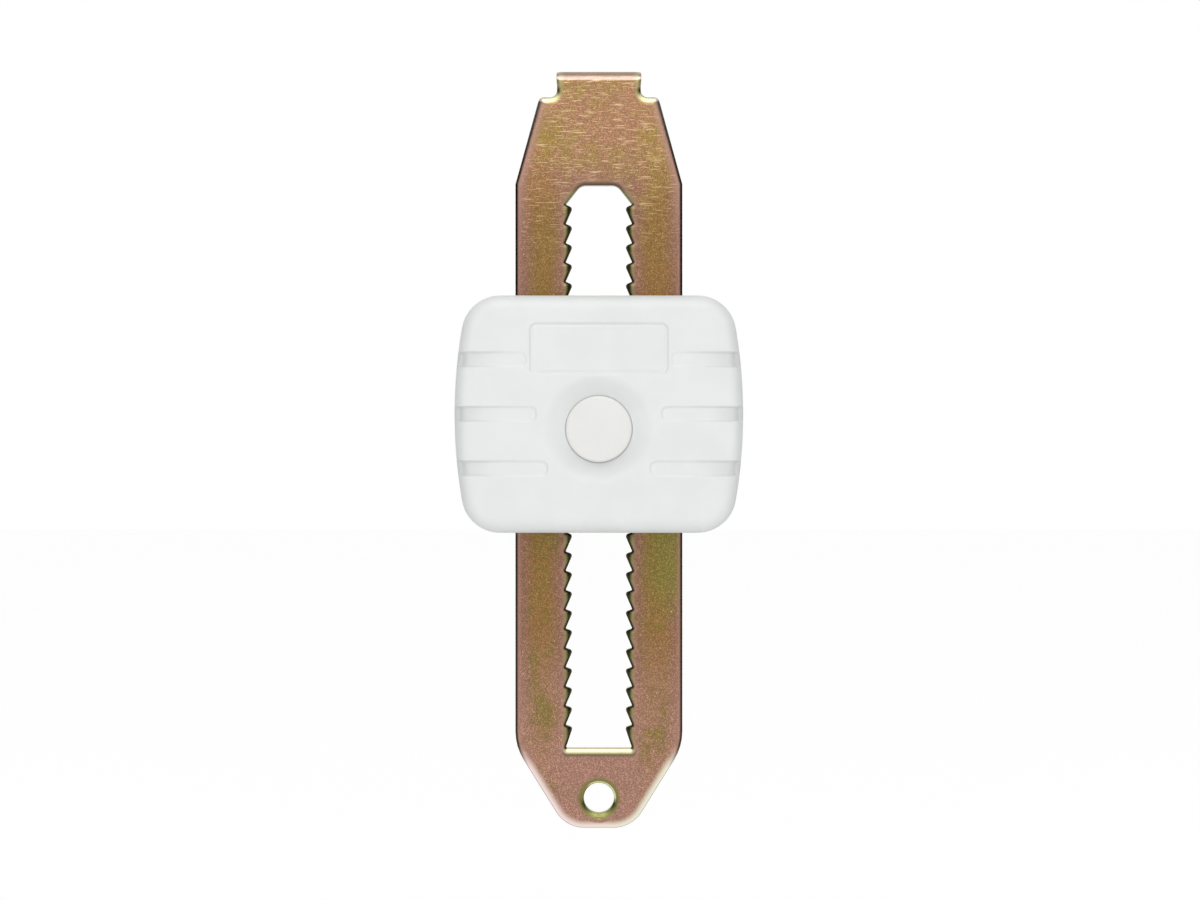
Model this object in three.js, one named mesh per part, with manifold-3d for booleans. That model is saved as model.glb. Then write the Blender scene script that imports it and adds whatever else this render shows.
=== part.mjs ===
// A portable door lock. A stamped steel bar hooks into the strike plate of a door frame, the door is
// shut over it, and a case slides up the bar until it bears on the door. Two sprung pawls inside the
// case catch the saw teeth of the bar's slot, and the push button draws them in to let the case go.
//
// Millimetres. +Z runs up the bar to its hook, -Y faces the viewer, and the origin is the middle of
// the hook's underside, the face that pulls on the strike plate. The pawls are drawn parked, their
// tips just clear of the teeth, so that the case can slide.

import * as THREE from 'three';
import { mergeVertices } from 'three/addons/utils/BufferGeometryUtils.js';
import Module from 'manifold-3d';

const wasm = await Module();
wasm.setup();

// Clearances
const RUNNING_GAP = 0.3;
const SEAT_GAP = 0.2;
const CAM_GAP = 0.2;
const BUTTON_GAP = 0.25;

// Bar
const BAR_LENGTH = 137.6;
const BAR_WIDTH = 30.3;
const BAR_THICKNESS = 2;
const SHOULDER_DROP = 4.9;
const SHOULDER_WIDTH = 21.6;
const SHOULDER_TAPER = 15.8;
const SHOULDER_RADIUS = 0.6;
const TAIL_TAPER = 14.7;
const TAIL_WIDTH = 12;
const TAIL_SIDE_RADIUS = 10;
const TAIL_END_RADIUS = 6;
const HANG_HOLE_DIAMETER = 5.5;
const HANG_HOLE_RISE = 5.4;

// Hook
const HOOK_WIDTH = 15.2;
const HOOK_REACH = 9;
const HOOK_BEND_RADIUS = 0.5;
const HOOK_CORNER_RADIUS = 2;
const NECK_FILLET = 0.9;

// Slot and teeth
const SLOT_DROP = 20.9;
const SLOT_WIDTH = 12.1;
const SLOT_TOP_WIDTH = 6.6;
const SLOT_TOP_HEIGHT = 3.5;
const SLOT_TOP_RADIUS = 2;
const SLOT_FOOT_HEIGHT = 1;
const SLOT_TAIL_MARGIN = 14.1;
const TOOTH_PITCH = 3.5;
const TOOTH_DEPTH = 1.3;
const TOOTH_FACE_RUN = 0.6;

// Pawls
const PARKED_NOTCH = 10;
const PAWL_TEETH = 3;
const PAWL_TIP_GAP = 0.3;
const PAWL_ROOT_GAP = 0.25;
const PAWL_SHOULDER = 1.5;
const PAWL_BODY_WIDTH = 7.2;
const PAWL_BODY_DEPTH = 3.8;
const PAWL_CHAMFER = 2.6;
const RELEASE_TRAVEL = 0.6;

// Pawl springs
const SPRING_DIAMETER = 2.4;
const SPRING_WIRE = 0.4;
const SPRING_TURNS = 8;
const SPRING_SPACING = 6.4;
const SPRING_POCKET_DEPTH = 3.6;

// Guide plate
const GUIDE_THICKNESS = 1.2;
const GUIDE_WIDTH = 23.6;
const GUIDE_SCREW_MARGIN = 2.7;
const GUIDE_RIB = 1.4;

// Push button
const BUTTON_DIAMETER = 11.7;
const BUTTON_EDGE_RADIUS = 0.5;
const BUTTON_DROP = 2.65;
const FLANGE_LIP = 1.4;
const FLANGE_THICKNESS = 1;
const WING_LENGTH = 8;
const WING_THICKNESS = 1.3;

// Case
const CASE_WIDTH = 51.3;
const CASE_HEIGHT = 42.2;
const CASE_SIDE_BULGE = 2.5;
const CASE_CORNER_RADIUS = 6.9;
const CASE_WALL = 1.6;
const CASE_FRONT_EDGE = 2.6;
const COVER_DEPTH = 3.6;
const COVER_EDGE = 1.5;
const COVER_RIB = 2.4;

// Case front: thumb dish, label panel and grip grooves
const DISH_DIAMETER = 18.4;
const DISH_DEPTH = 1.05;
const PANEL_WIDTH = 24.4;
const PANEL_HEIGHT = 9;
const PANEL_TOP_MARGIN = 5.05;
const PANEL_RADIUS = 1.2;
const PANEL_DEPTH = 0.4;
const GROOVE_WIDTH = 3;
const GROOVE_SPACING = 9.65;
const GROOVE_LENGTHS = [13, 14.8, 16.8];
const GROOVE_DEPTH = 0.5;
const RECESS_BEVEL = 0.5;

// Screws
const SCREW_SHANK = 2.4;
const SCREW_LENGTH = 8;
const SCREW_HEAD = 4.4;
const SCREW_HEAD_HEIGHT = 1.4;
const SCREW_CROWN_SHARE = 0.7;
const SCREW_SINK = 0.4;
const BOSS_WALL = 1.5;
const BOSS_MARGIN = 1.5;
const GUIDE_SCREW_SHANK = 1.8;
const GUIDE_SCREW_LENGTH = 5;
const GUIDE_SCREW_HEAD = 3.4;
const DRIVE_SLOT_WIDTH = 0.6;
const DRIVE_SLOT_DEPTH = 0.7;
const DRIVE_SLOT_SHARE = 0.6;

// Fineness of round shapes, and the share of a side that one rounded corner may take
const ARC_STEP = Math.PI / 12;
const ROUND_SIDES = 32;
const SCREW_SIDES = 16;
const COIL_STEPS = 8;
const COIL_SIDES = 5;
const EDGE_STEPS = 4;
const CORNER_SHARE = 0.48;

// How far a cutter or a joined stub runs past the face that it meets
const OVERRUN = 1;

// Depths are lifts in front of the bar's front face, so a lift of 3 lies at y = -3 in the case's frame
const guideBack = RUNNING_GAP;
const guideFront = guideBack + GUIDE_THICKNESS;
const pawlBack = guideFront + RUNNING_GAP;
const pawlFront = pawlBack + PAWL_BODY_DEPTH;
const flangeBack = pawlFront + RELEASE_TRAVEL + RUNNING_GAP;
const flangeFront = flangeBack + FLANGE_THICKNESS;
const lockTravel = PAWL_TIP_GAP + TOOTH_DEPTH - PAWL_ROOT_GAP;
const ceiling = flangeFront + lockTravel + SEAT_GAP;
const caseFront = ceiling + CASE_WALL;
const coverFront = -BAR_THICKNESS - RUNNING_GAP;
const shellRim = coverFront + SEAT_GAP;
const coverBack = coverFront - COVER_DEPTH;

// Places along the bar
const barBack = -(HOOK_BEND_RADIUS + HOOK_REACH) / 2;
const barFront = barBack - BAR_THICKNESS;
const barBottom = BAR_THICKNESS - BAR_LENGTH;
const slotTop = BAR_THICKNESS - SLOT_DROP;
const firstRoot = slotTop - SLOT_TOP_HEIGHT;
const rackLength = firstRoot - SLOT_FOOT_HEIGHT - SLOT_TAIL_MARGIN - barBottom;
const toothCount = Math.floor(rackLength / TOOTH_PITCH);
const footLength = PAWL_TEETH * TOOTH_PITCH;
const footTop = firstRoot - PARKED_NOTCH * TOOTH_PITCH - TOOTH_FACE_RUN;
const buttonHeight = footTop - footLength / 2;

// Places inside the case
const flangeRadius = BUTTON_DIAMETER / 2 + FLANGE_LIP;
const bossRadius = SCREW_SHANK / 2 + RUNNING_GAP + BOSS_WALL;
const guideBossRadius = GUIDE_SCREW_SHANK / 2 + RUNNING_GAP + BOSS_WALL;
const guideScrewOffset = flangeRadius + RUNNING_GAP + guideBossRadius;
const guideHeight = 2 * (guideScrewOffset + GUIDE_SCREW_MARGIN);
const pawlInside = RELEASE_TRAVEL + RUNNING_GAP;
const pawlLength = footLength + 2 * PAWL_SHOULDER;
const springHeight = (pawlBack + pawlFront) / 2;
const counterboreRadius = SCREW_HEAD / 2 + RUNNING_GAP;
const screwSeat = coverBack + SCREW_SINK + SCREW_HEAD_HEIGHT + SEAT_GAP;
const bossPlaces = [];
for (const side of [-1, 1]) {
  for (const end of [-1, 1]) {
    const x = BAR_WIDTH / 2 + RUNNING_GAP + SEAT_GAP + bossRadius;
    const z = CASE_HEIGHT / 2 - CASE_WALL - BOSS_MARGIN - bossRadius;
    bossPlaces.push({ x: side * x, z: BUTTON_DROP + end * z });
  }
}

// Solids: a closed mesh with merged corners can be joined and cut

function solidOf(geometry) {
  const bare = geometry.clone();
  bare.deleteAttribute('normal');
  bare.deleteAttribute('uv');
  const merged = mergeVertices(bare, 1e-5);
  return new wasm.Manifold(new wasm.Mesh({
    numProp: 3,
    vertProperties: new Float32Array(merged.attributes.position.array),
    triVerts: new Uint32Array(merged.index.array),
  }));
}

function join(first, ...others) {
  return others.reduce((whole, solid) => whole.add(solid), first);
}

function cut(first, ...others) {
  return others.reduce((rest, solid) => rest.subtract(solid), first);
}

function geometryOf(solid) {
  const mesh = solid.getMesh();
  const geometry = new THREE.BufferGeometry();
  geometry.setAttribute('position', new THREE.BufferAttribute(mesh.vertProperties, 3));
  geometry.setIndex(new THREE.BufferAttribute(mesh.triVerts, 1));
  geometry.computeVertexNormals();
  return geometry;
}

// Outlines: corners [across, up, radius]

function rounded(corners) {
  const points = [];
  corners.forEach(([x, y, radius], i) => {
    const corner = new THREE.Vector2(x, y);
    const before = new THREE.Vector2(...corners.at(i - 1)).sub(corner);
    const after = new THREE.Vector2(...corners[(i + 1) % corners.length]).sub(corner);
    if (!radius) {
      points.push(corner);
      return;
    }
    const half = Math.acos(before.dot(after) / before.length() / after.length()) / 2;
    const room = CORNER_SHARE * Math.min(before.length(), after.length());
    const reach = Math.min(radius / Math.tan(half), room);
    const from = corner.clone().addScaledVector(before.normalize(), reach);
    const inward = before.clone().add(after.normalize()).normalize();
    const centre = corner.clone().addScaledVector(inward, reach / Math.cos(half));
    const turn = Math.sign(before.cross(after)) * (Math.PI - 2 * half);
    const steps = Math.max(2, Math.ceil(Math.abs(turn) / ARC_STEP));
    for (let k = 0; k <= steps; k += 1) {
      points.push(from.clone().rotateAround(centre, -turn * k / steps));
    }
  });
  return points;
}

// Corners given down the right side, with the left side as their mirror image
function mirrored(rightSide) {
  return [...rightSide, ...rightSide.map(([x, y, radius]) => [-x, y, radius]).reverse()];
}

function rectangle(width, height, radius = 0) {
  return rounded(mirrored([[width / 2, height / 2, radius], [width / 2, -height / 2, radius]]));
}

// Plates parallel to the bar, between two lifts, from an outline in x and z
function plate(outline, back, front, bevel = {}) {
  const options = { depth: front - back, steps: 1, bevelEnabled: false, ...bevel };
  const geometry = new THREE.ExtrudeGeometry(new THREE.Shape(outline), options);
  return solidOf(geometry.rotateX(Math.PI / 2).translate(0, -back, 0));
}

// Bars along x, from an outline in y and z
function barAlongX(outline, left, right) {
  const options = { depth: right - left, steps: 1, bevelEnabled: false };
  const geometry = new THREE.ExtrudeGeometry(new THREE.Shape(outline), options);
  const turn = new THREE.Matrix4().makeBasis(
    new THREE.Vector3(0, 1, 0),
    new THREE.Vector3(0, 0, 1),
    new THREE.Vector3(1, 0, 0),
  );
  return solidOf(geometry.applyMatrix4(turn).translate(left, 0, 0));
}

// Bars along z, centred on the button, from an outline in x and lift
function barAlongZ(outline, length) {
  const options = { depth: length, steps: 1, bevelEnabled: false };
  const flipped = outline.map(([x, lift]) => new THREE.Vector2(x, -lift));
  const geometry = new THREE.ExtrudeGeometry(new THREE.Shape(flipped), options);
  return solidOf(geometry.translate(0, 0, -length / 2));
}

// Round rods square to the bar, between two lifts
function rod(radius, back, front, sides, x = 0, z = 0) {
  const geometry = new THREE.CylinderGeometry(radius, radius, front - back, sides);
  return solidOf(geometry.translate(x, -(back + front) / 2, z));
}

// Turned pieces square to the bar, from corners [radius, lift] listed from the back to the front
function turned(profile, sides) {
  const points = profile.map(([radius, lift]) => new THREE.Vector2(radius, -lift)).reverse();
  return solidOf(new THREE.LatheGeometry(points, sides));
}

function moved(solid, x, z) {
  return solid.translate(x, 0, z);
}

// Bar: a flat blank with a saw-toothed slot, and a hook bent back at the top

function slotOutline() {
  const right = [
    [SLOT_TOP_WIDTH / 2, slotTop, SLOT_TOP_RADIUS],
    [SLOT_WIDTH / 2, firstRoot],
  ];
  for (let k = 0; k < toothCount; k += 1) {
    const root = firstRoot - k * TOOTH_PITCH;
    right.push([SLOT_WIDTH / 2 - TOOTH_DEPTH, root - TOOTH_FACE_RUN]);
    right.push([SLOT_WIDTH / 2, root - TOOTH_PITCH]);
  }
  const lastRoot = firstRoot - toothCount * TOOTH_PITCH;
  right.push([SLOT_WIDTH / 2, lastRoot - SLOT_FOOT_HEIGHT, SLOT_FOOT_HEIGHT / 2]);
  return rounded(mirrored(right));
}

function blankOutline() {
  const shoulder = BAR_THICKNESS - SHOULDER_DROP;
  const neckTop = -HOOK_BEND_RADIUS;
  return rounded(mirrored([
    [HOOK_WIDTH / 2, neckTop],
    [HOOK_WIDTH / 2, shoulder, NECK_FILLET],
    [SHOULDER_WIDTH / 2, shoulder, SHOULDER_RADIUS],
    [BAR_WIDTH / 2, shoulder - SHOULDER_TAPER, SHOULDER_RADIUS],
    [BAR_WIDTH / 2, barBottom + TAIL_TAPER, TAIL_SIDE_RADIUS],
    [TAIL_WIDTH / 2, barBottom, TAIL_END_RADIUS],
  ]));
}

// The hook's section in y and z, from the neck round the bend to the flange's end
function hookOutline() {
  const bendCentre = new THREE.Vector2(barBack + HOOK_BEND_RADIUS, -HOOK_BEND_RADIUS);
  const outer = [];
  const inner = [];
  const steps = Math.round(Math.PI / 2 / ARC_STEP);
  for (let k = 0; k <= steps; k += 1) {
    const way = new THREE.Vector2(-1, 0).rotateAround(new THREE.Vector2(), -k * ARC_STEP);
    outer.push(bendCentre.clone().addScaledVector(way, HOOK_BEND_RADIUS + BAR_THICKNESS));
    inner.push(bendCentre.clone().addScaledVector(way, HOOK_BEND_RADIUS));
  }
  const end = barBack + HOOK_REACH;
  const neck = -HOOK_BEND_RADIUS - (SHOULDER_DROP - BAR_THICKNESS) / 2;
  return [
    new THREE.Vector2(barFront, neck),
    ...outer,
    new THREE.Vector2(end, BAR_THICKNESS),
    new THREE.Vector2(end, 0),
    ...inner.reverse(),
    new THREE.Vector2(barBack, neck),
  ];
}

// The hook seen from above, with its two free corners rounded
function hookPlan() {
  const right = [
    [HOOK_WIDTH / 2, barFront - OVERRUN],
    [HOOK_WIDTH / 2, barBack + HOOK_REACH, HOOK_CORNER_RADIUS],
  ];
  const shape = new THREE.Shape(rounded(mirrored(right)));
  const options = { depth: 2 * SHOULDER_DROP, steps: 1, bevelEnabled: false };
  return solidOf(new THREE.ExtrudeGeometry(shape, options).translate(0, 0, -SHOULDER_DROP));
}

function lockingBar() {
  const blank = plate(blankOutline(), -barBack, -barFront);
  const slot = plate(slotOutline(), -barBack - OVERRUN, -barFront + OVERRUN);
  const holeZ = barBottom + HANG_HOLE_RISE;
  const holeRadius = HANG_HOLE_DIAMETER / 2;
  const hole = rod(holeRadius, -barBack - OVERRUN, -barFront + OVERRUN, ROUND_SIDES, 0, holeZ);
  const hook = barAlongX(hookOutline(), -HOOK_WIDTH / 2, HOOK_WIDTH / 2).intersect(hookPlan());
  return cut(join(blank, hook), slot, hole);
}

// Case outline: flat top and bottom, sides that bulge on one large arc, and round corners

function caseOutline(inset = 0) {
  const halfWidth = CASE_WIDTH / 2 - inset;
  const halfHeight = CASE_HEIGHT / 2 - inset;
  const sideRadius = ((CASE_HEIGHT / 2) ** 2 + CASE_SIDE_BULGE ** 2) / 2 / CASE_SIDE_BULGE - inset;
  const sideCentre = halfWidth - sideRadius;
  const radius = CASE_CORNER_RADIUS - inset;
  const cornerZ = halfHeight - radius;
  const cornerX = sideCentre + Math.sqrt((sideRadius - radius) ** 2 - cornerZ ** 2);
  const meeting = Math.atan2(cornerZ, cornerX - sideCentre);
  const right = [];
  const cornerSteps = Math.ceil((Math.PI / 2 - meeting) / ARC_STEP);
  for (let k = 0; k <= cornerSteps; k += 1) {
    const angle = Math.PI / 2 + (meeting - Math.PI / 2) * k / cornerSteps;
    right.push([cornerX + radius * Math.cos(angle), cornerZ + radius * Math.sin(angle)]);
  }
  const sideSteps = 2 * EDGE_STEPS;
  for (let k = 1; k < sideSteps; k += 1) {
    const angle = meeting - 2 * meeting * k / sideSteps;
    right.push([sideCentre + sideRadius * Math.cos(angle), sideRadius * Math.sin(angle)]);
  }
  for (let k = cornerSteps; k >= 0; k -= 1) {
    right.push([right[k][0], -right[k][1]]);
  }
  return mirrored(right).map(([x, z]) => new THREE.Vector2(x, z + BUTTON_DROP));
}

// A slab of the case whose front or back edge is rounded; the far rounding is cut away
function softSlab(back, front, edge, roundFront) {
  const bevel = {
    bevelEnabled: true,
    bevelThickness: edge,
    bevelSize: edge,
    bevelOffset: -edge,
    bevelSegments: EDGE_STEPS,
  };
  const low = roundFront ? back - edge : back + edge;
  const high = roundFront ? front - edge : front + edge;
  const block = plate(caseOutline(), low, high, bevel);
  return block.intersect(plate(caseOutline(-OVERRUN), back, front));
}

// A recess in the case front with sloping walls
function recess(outline, depth) {
  const bevel = {
    bevelEnabled: true,
    bevelThickness: depth,
    bevelSize: RECESS_BEVEL,
    bevelSegments: 1,
  };
  return plate(outline, caseFront, caseFront + OVERRUN, bevel);
}

function thumbDish() {
  const rim = DISH_DIAMETER / 2;
  const sphere = (rim ** 2 + DISH_DEPTH ** 2) / 2 / DISH_DEPTH;
  const profile = [];
  const reach = Math.asin((rim + OVERRUN) / sphere);
  for (let k = 0; k <= EDGE_STEPS; k += 1) {
    const angle = reach * k / EDGE_STEPS;
    const lift = caseFront - DISH_DEPTH + sphere * (1 - Math.cos(angle));
    profile.push([sphere * Math.sin(angle), lift]);
  }
  profile.push([0, profile.at(-1)[1]]);
  return turned(profile, ROUND_SIDES);
}

function labelPanel() {
  const middle = BUTTON_DROP + CASE_HEIGHT / 2 - PANEL_TOP_MARGIN - PANEL_HEIGHT / 2;
  const width = PANEL_WIDTH - 2 * RECESS_BEVEL;
  const height = PANEL_HEIGHT - 2 * RECESS_BEVEL;
  return moved(recess(rectangle(width, height, PANEL_RADIUS), PANEL_DEPTH), 0, middle);
}

function gripGroove(side, row) {
  const inner = CASE_WIDTH / 2 - GROOVE_LENGTHS[row] + RECESS_BEVEL;
  const outer = CASE_WIDTH / 2 + OVERRUN;
  const half = GROOVE_WIDTH / 2 - RECESS_BEVEL;
  const corners = [
    [side * inner, half, half],
    [side * outer, half],
    [side * outer, -half],
    [side * inner, -half, half],
  ];
  return moved(recess(rounded(corners), GROOVE_DEPTH), 0, BUTTON_DROP + (1 - row) * GROOVE_SPACING);
}

// Front shell: a moulded tray that carries the guide plate on a rib frame and two bosses

function frontShell() {
  const tray = cut(
    softSlab(shellRim, caseFront, CASE_FRONT_EDGE, true),
    plate(caseOutline(CASE_WALL), shellRim - OVERRUN, ceiling),
  );
  const channelWidth = BAR_WIDTH + 2 * RUNNING_GAP;
  const channel = moved(
    plate(rectangle(channelWidth, CASE_HEIGHT + 2 * OVERRUN), shellRim - OVERRUN, RUNNING_GAP),
    0,
    BUTTON_DROP,
  );
  const frameInside = rectangle(GUIDE_WIDTH + 2 * SEAT_GAP, guideHeight + 2 * SEAT_GAP);
  const frameWidth = GUIDE_WIDTH + 2 * SEAT_GAP + 2 * GUIDE_RIB;
  const frameOutside = rectangle(frameWidth, guideHeight + 2 * SEAT_GAP + 2 * GUIDE_RIB);
  const frame = cut(
    plate(frameOutside, RUNNING_GAP, ceiling + SEAT_GAP),
    plate(frameInside, RUNNING_GAP - OVERRUN, ceiling + OVERRUN),
  );
  const bosses = bossPlaces.map(({ x, z }) => (
    rod(bossRadius, shellRim, ceiling + SEAT_GAP, SCREW_SIDES, x, z)
  ));
  const guideBosses = [-1, 1].map((end) => (
    rod(guideBossRadius, guideFront + SEAT_GAP, ceiling + SEAT_GAP, SCREW_SIDES, 0, end * guideScrewOffset)
  ));
  const screwTip = screwSeat + SCREW_LENGTH;
  const pilots = bossPlaces.map(({ x, z }) => (
    rod(SCREW_SHANK / 2 + RUNNING_GAP, shellRim - OVERRUN, screwTip + RUNNING_GAP, SCREW_SIDES, x, z)
  ));
  const guideTip = guideBack + GUIDE_SCREW_LENGTH;
  const guidePilots = [-1, 1].map((end) => rod(
    GUIDE_SCREW_SHANK / 2 + RUNNING_GAP,
    guideFront - OVERRUN,
    guideTip + RUNNING_GAP,
    SCREW_SIDES,
    0,
    end * guideScrewOffset,
  ));
  const holeRadius = BUTTON_DIAMETER / 2 + BUTTON_GAP;
  const buttonHole = rod(holeRadius, ceiling - OVERRUN, caseFront + OVERRUN, ROUND_SIDES);
  const grooves = [-1, 1].flatMap((side) => GROOVE_LENGTHS.map((_, row) => gripGroove(side, row)));
  return cut(
    join(cut(tray, channel), frame, ...bosses, ...guideBosses),
    ...pilots,
    ...guidePilots,
    buttonHole,
    thumbDish(),
    labelPanel(),
    ...grooves,
  );
}

// Rear cover: a shallow lid behind the bar, with two ribs that the bar slides on

function rearCover() {
  const lid = cut(
    softSlab(coverBack, coverFront, COVER_EDGE, false),
    plate(caseOutline(CASE_WALL), coverBack + CASE_WALL, coverFront + OVERRUN),
  );
  const ribX = (SLOT_WIDTH + BAR_WIDTH) / 4;
  const ribHeight = CASE_HEIGHT - CASE_WALL;
  const ribs = [-1, 1].map((side) => (
    moved(plate(rectangle(COVER_RIB, ribHeight), coverBack + SEAT_GAP, coverFront), side * ribX, BUTTON_DROP)
  ));
  const postRadius = counterboreRadius + BOSS_WALL / 2;
  const posts = bossPlaces.map(({ x, z }) => (
    rod(postRadius, coverBack + SEAT_GAP, coverFront, ROUND_SIDES, x, z)
  ));
  const sinks = bossPlaces.map(({ x, z }) => (
    rod(counterboreRadius, coverBack - OVERRUN, screwSeat, ROUND_SIDES, x, z)
  ));
  const holes = bossPlaces.map(({ x, z }) => (
    rod(SCREW_SHANK / 2 + RUNNING_GAP, coverBack - OVERRUN, coverFront + OVERRUN, SCREW_SIDES, x, z)
  ));
  return cut(join(lid, ...ribs, ...posts), ...sinks, ...holes);
}

// Pawls: a toothed foot in the bar's slot, and a body with a sloping shoulder that the button squeezes

function pawl(side) {
  const tip = SLOT_WIDTH / 2 - PAWL_ROOT_GAP - lockTravel;
  const corners = [[side * pawlInside, footLength / 2]];
  for (let k = 0; k < PAWL_TEETH; k += 1) {
    const top = footLength / 2 - k * TOOTH_PITCH;
    corners.push([side * (tip - TOOTH_DEPTH), top]);
    corners.push([side * tip, top - TOOTH_PITCH + TOOTH_FACE_RUN]);
  }
  corners.push([side * (tip - TOOTH_DEPTH), -footLength / 2]);
  corners.push([side * pawlInside, -footLength / 2]);
  const foot = plate(rounded(corners), SEAT_GAP - BAR_THICKNESS, pawlBack + SEAT_GAP);
  const outside = pawlInside + PAWL_BODY_WIDTH;
  const body = barAlongZ([
    [side * pawlInside, pawlBack],
    [side * outside, pawlBack],
    [side * outside, pawlFront - PAWL_CHAMFER],
    [side * (outside - PAWL_CHAMFER), pawlFront],
    [side * pawlInside, pawlFront],
  ], pawlLength);
  const pocketRadius = SPRING_DIAMETER / 2 + RUNNING_GAP;
  const pocketMiddle = side * (pawlInside + (SPRING_POCKET_DEPTH - OVERRUN) / 2);
  const pockets = [-1, 1].map((end) => {
    const length = SPRING_POCKET_DEPTH + OVERRUN;
    const pocket = new THREE.CylinderGeometry(pocketRadius, pocketRadius, length, SCREW_SIDES);
    pocket.rotateZ(Math.PI / 2).translate(pocketMiddle, -springHeight, end * SPRING_SPACING / 2);
    return solidOf(pocket);
  });
  return cut(join(foot, body), ...pockets);
}

// Pawl springs: one unbroken wire wound about an axis along x, pressing the pawls apart

function pawlSpring(end) {
  const coilRadius = (SPRING_DIAMETER - SPRING_WIRE) / 2;
  const wireRadius = SPRING_WIRE / 2;
  const halfLength = pawlInside + SPRING_POCKET_DEPTH - SEAT_GAP - wireRadius;
  const pitch = 2 * halfLength / SPRING_TURNS;
  const count = SPRING_TURNS * COIL_STEPS;
  const centres = [];
  const positions = [];
  const faces = [];
  for (let k = 0; k <= count; k += 1) {
    const angle = 2 * Math.PI * k / COIL_STEPS;
    const out = new THREE.Vector3(0, Math.cos(angle), Math.sin(angle));
    const along = new THREE.Vector3(pitch, -2 * Math.PI * coilRadius * out.z, 2 * Math.PI * coilRadius * out.y);
    const across = new THREE.Vector3().crossVectors(along.normalize(), out);
    const centre = out.clone().multiplyScalar(coilRadius).setX(-halfLength + pitch * k / COIL_STEPS);
    centres.push(centre);
    for (let s = 0; s < COIL_SIDES; s += 1) {
      const around = 2 * Math.PI * s / COIL_SIDES;
      const point = centre.clone()
        .addScaledVector(out, wireRadius * Math.cos(around))
        .addScaledVector(across, wireRadius * Math.sin(around));
      positions.push(...point.toArray());
      if (k < count) {
        const a = k * COIL_SIDES + s;
        const b = k * COIL_SIDES + (s + 1) % COIL_SIDES;
        faces.push(a, b, b + COIL_SIDES, a, b + COIL_SIDES, a + COIL_SIDES);
      }
    }
  }
  for (let s = 1; s < COIL_SIDES - 1; s += 1) {
    const last = count * COIL_SIDES;
    faces.push(0, s + 1, s, last, last + s, last + s + 1);
  }
  const geometry = new THREE.BufferGeometry();
  geometry.setAttribute('position', new THREE.Float32BufferAttribute(positions, 3));
  geometry.setIndex(faces);
  let least = Infinity;
  centres.forEach((centre, k) => {
    centres.slice(k + COIL_STEPS / 2).forEach((other) => {
      least = Math.min(least, centre.distanceTo(other) - SPRING_WIRE);
    });
  });
  console.log(`pawl spring: least gap between its turns ${least.toFixed(2)} mm`);
  return solidOf(geometry.translate(0, -springHeight, end * SPRING_SPACING / 2));
}

// Guide plate: steel, with a window that the pawl feet slide in

function guidePlate() {
  const tip = SLOT_WIDTH / 2 - PAWL_ROOT_GAP;
  const window = rectangle(2 * (tip + RUNNING_GAP), footLength + 2 * RUNNING_GAP);
  const blank = plate(rectangle(GUIDE_WIDTH, guideHeight, GUIDE_RIB), guideBack, guideFront);
  const countersinks = [-1, 1].map((end) => moved(turned([
    [0, guideBack - OVERRUN],
    [GUIDE_SCREW_HEAD / 2 + RUNNING_GAP, guideBack - OVERRUN],
    [GUIDE_SCREW_HEAD / 2 + RUNNING_GAP, guideBack],
    [GUIDE_SCREW_SHANK / 2 + RUNNING_GAP, guideBack + (GUIDE_SCREW_HEAD - GUIDE_SCREW_SHANK) / 2],
    [GUIDE_SCREW_SHANK / 2 + RUNNING_GAP, guideFront + OVERRUN],
    [0, guideFront + OVERRUN],
  ], SCREW_SIDES), 0, end * guideScrewOffset));
  return cut(blank, plate(window, guideBack - OVERRUN, guideFront + OVERRUN), ...countersinks);
}

// Push button: a cap over a flange that keeps it in the case, and two wings that squeeze the pawls

function pushButton() {
  const radius = BUTTON_DIAMETER / 2;
  const profile = [[0, flangeBack], [flangeRadius, flangeBack], [flangeRadius, flangeFront], [radius, flangeFront]];
  for (let k = 0; k <= EDGE_STEPS; k += 1) {
    const angle = Math.PI / 2 * k / EDGE_STEPS;
    const edge = radius - BUTTON_EDGE_RADIUS * (1 - Math.cos(angle));
    profile.push([edge, caseFront - BUTTON_EDGE_RADIUS * (1 - Math.sin(angle))]);
  }
  profile.push([0, caseFront]);
  const slope = pawlInside + PAWL_BODY_WIDTH - PAWL_CHAMFER + pawlFront + CAM_GAP;
  const wingBack = guideFront + RELEASE_TRAVEL + 2 * RUNNING_GAP;
  const wings = [-1, 1].map((side) => barAlongZ([
    [side * (slope - flangeFront), flangeFront],
    [side * (slope - wingBack), wingBack],
    [side * (slope - wingBack + WING_THICKNESS), wingBack],
    [side * (slope - wingBack + WING_THICKNESS), flangeFront],
  ], WING_LENGTH));
  return join(turned(profile, ROUND_SIDES), ...wings);
}

// Screws with a crossed drive recess, driven from the back

function driveRecess(back, head) {
  const reach = DRIVE_SLOT_SHARE * head;
  const bars = [rectangle(reach, DRIVE_SLOT_WIDTH), rectangle(DRIVE_SLOT_WIDTH, reach)];
  return join(...bars.map((bar) => plate(bar, back - OVERRUN, back + DRIVE_SLOT_DEPTH)));
}

function caseScrew({ x, z }) {
  const headBack = coverBack + SCREW_SINK;
  const headFront = headBack + SCREW_HEAD_HEIGHT;
  const body = turned([
    [0, headBack],
    [SCREW_CROWN_SHARE * SCREW_HEAD / 2, headBack],
    [SCREW_HEAD / 2, headBack + SCREW_HEAD_HEIGHT / 2],
    [SCREW_HEAD / 2, headFront],
    [SCREW_SHANK / 2, headFront],
    [SCREW_SHANK / 2, screwSeat + SCREW_LENGTH - SCREW_SHANK / 2],
    [0, screwSeat + SCREW_LENGTH],
  ], SCREW_SIDES);
  return moved(cut(body, driveRecess(headBack, SCREW_HEAD)), x, z);
}

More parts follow.
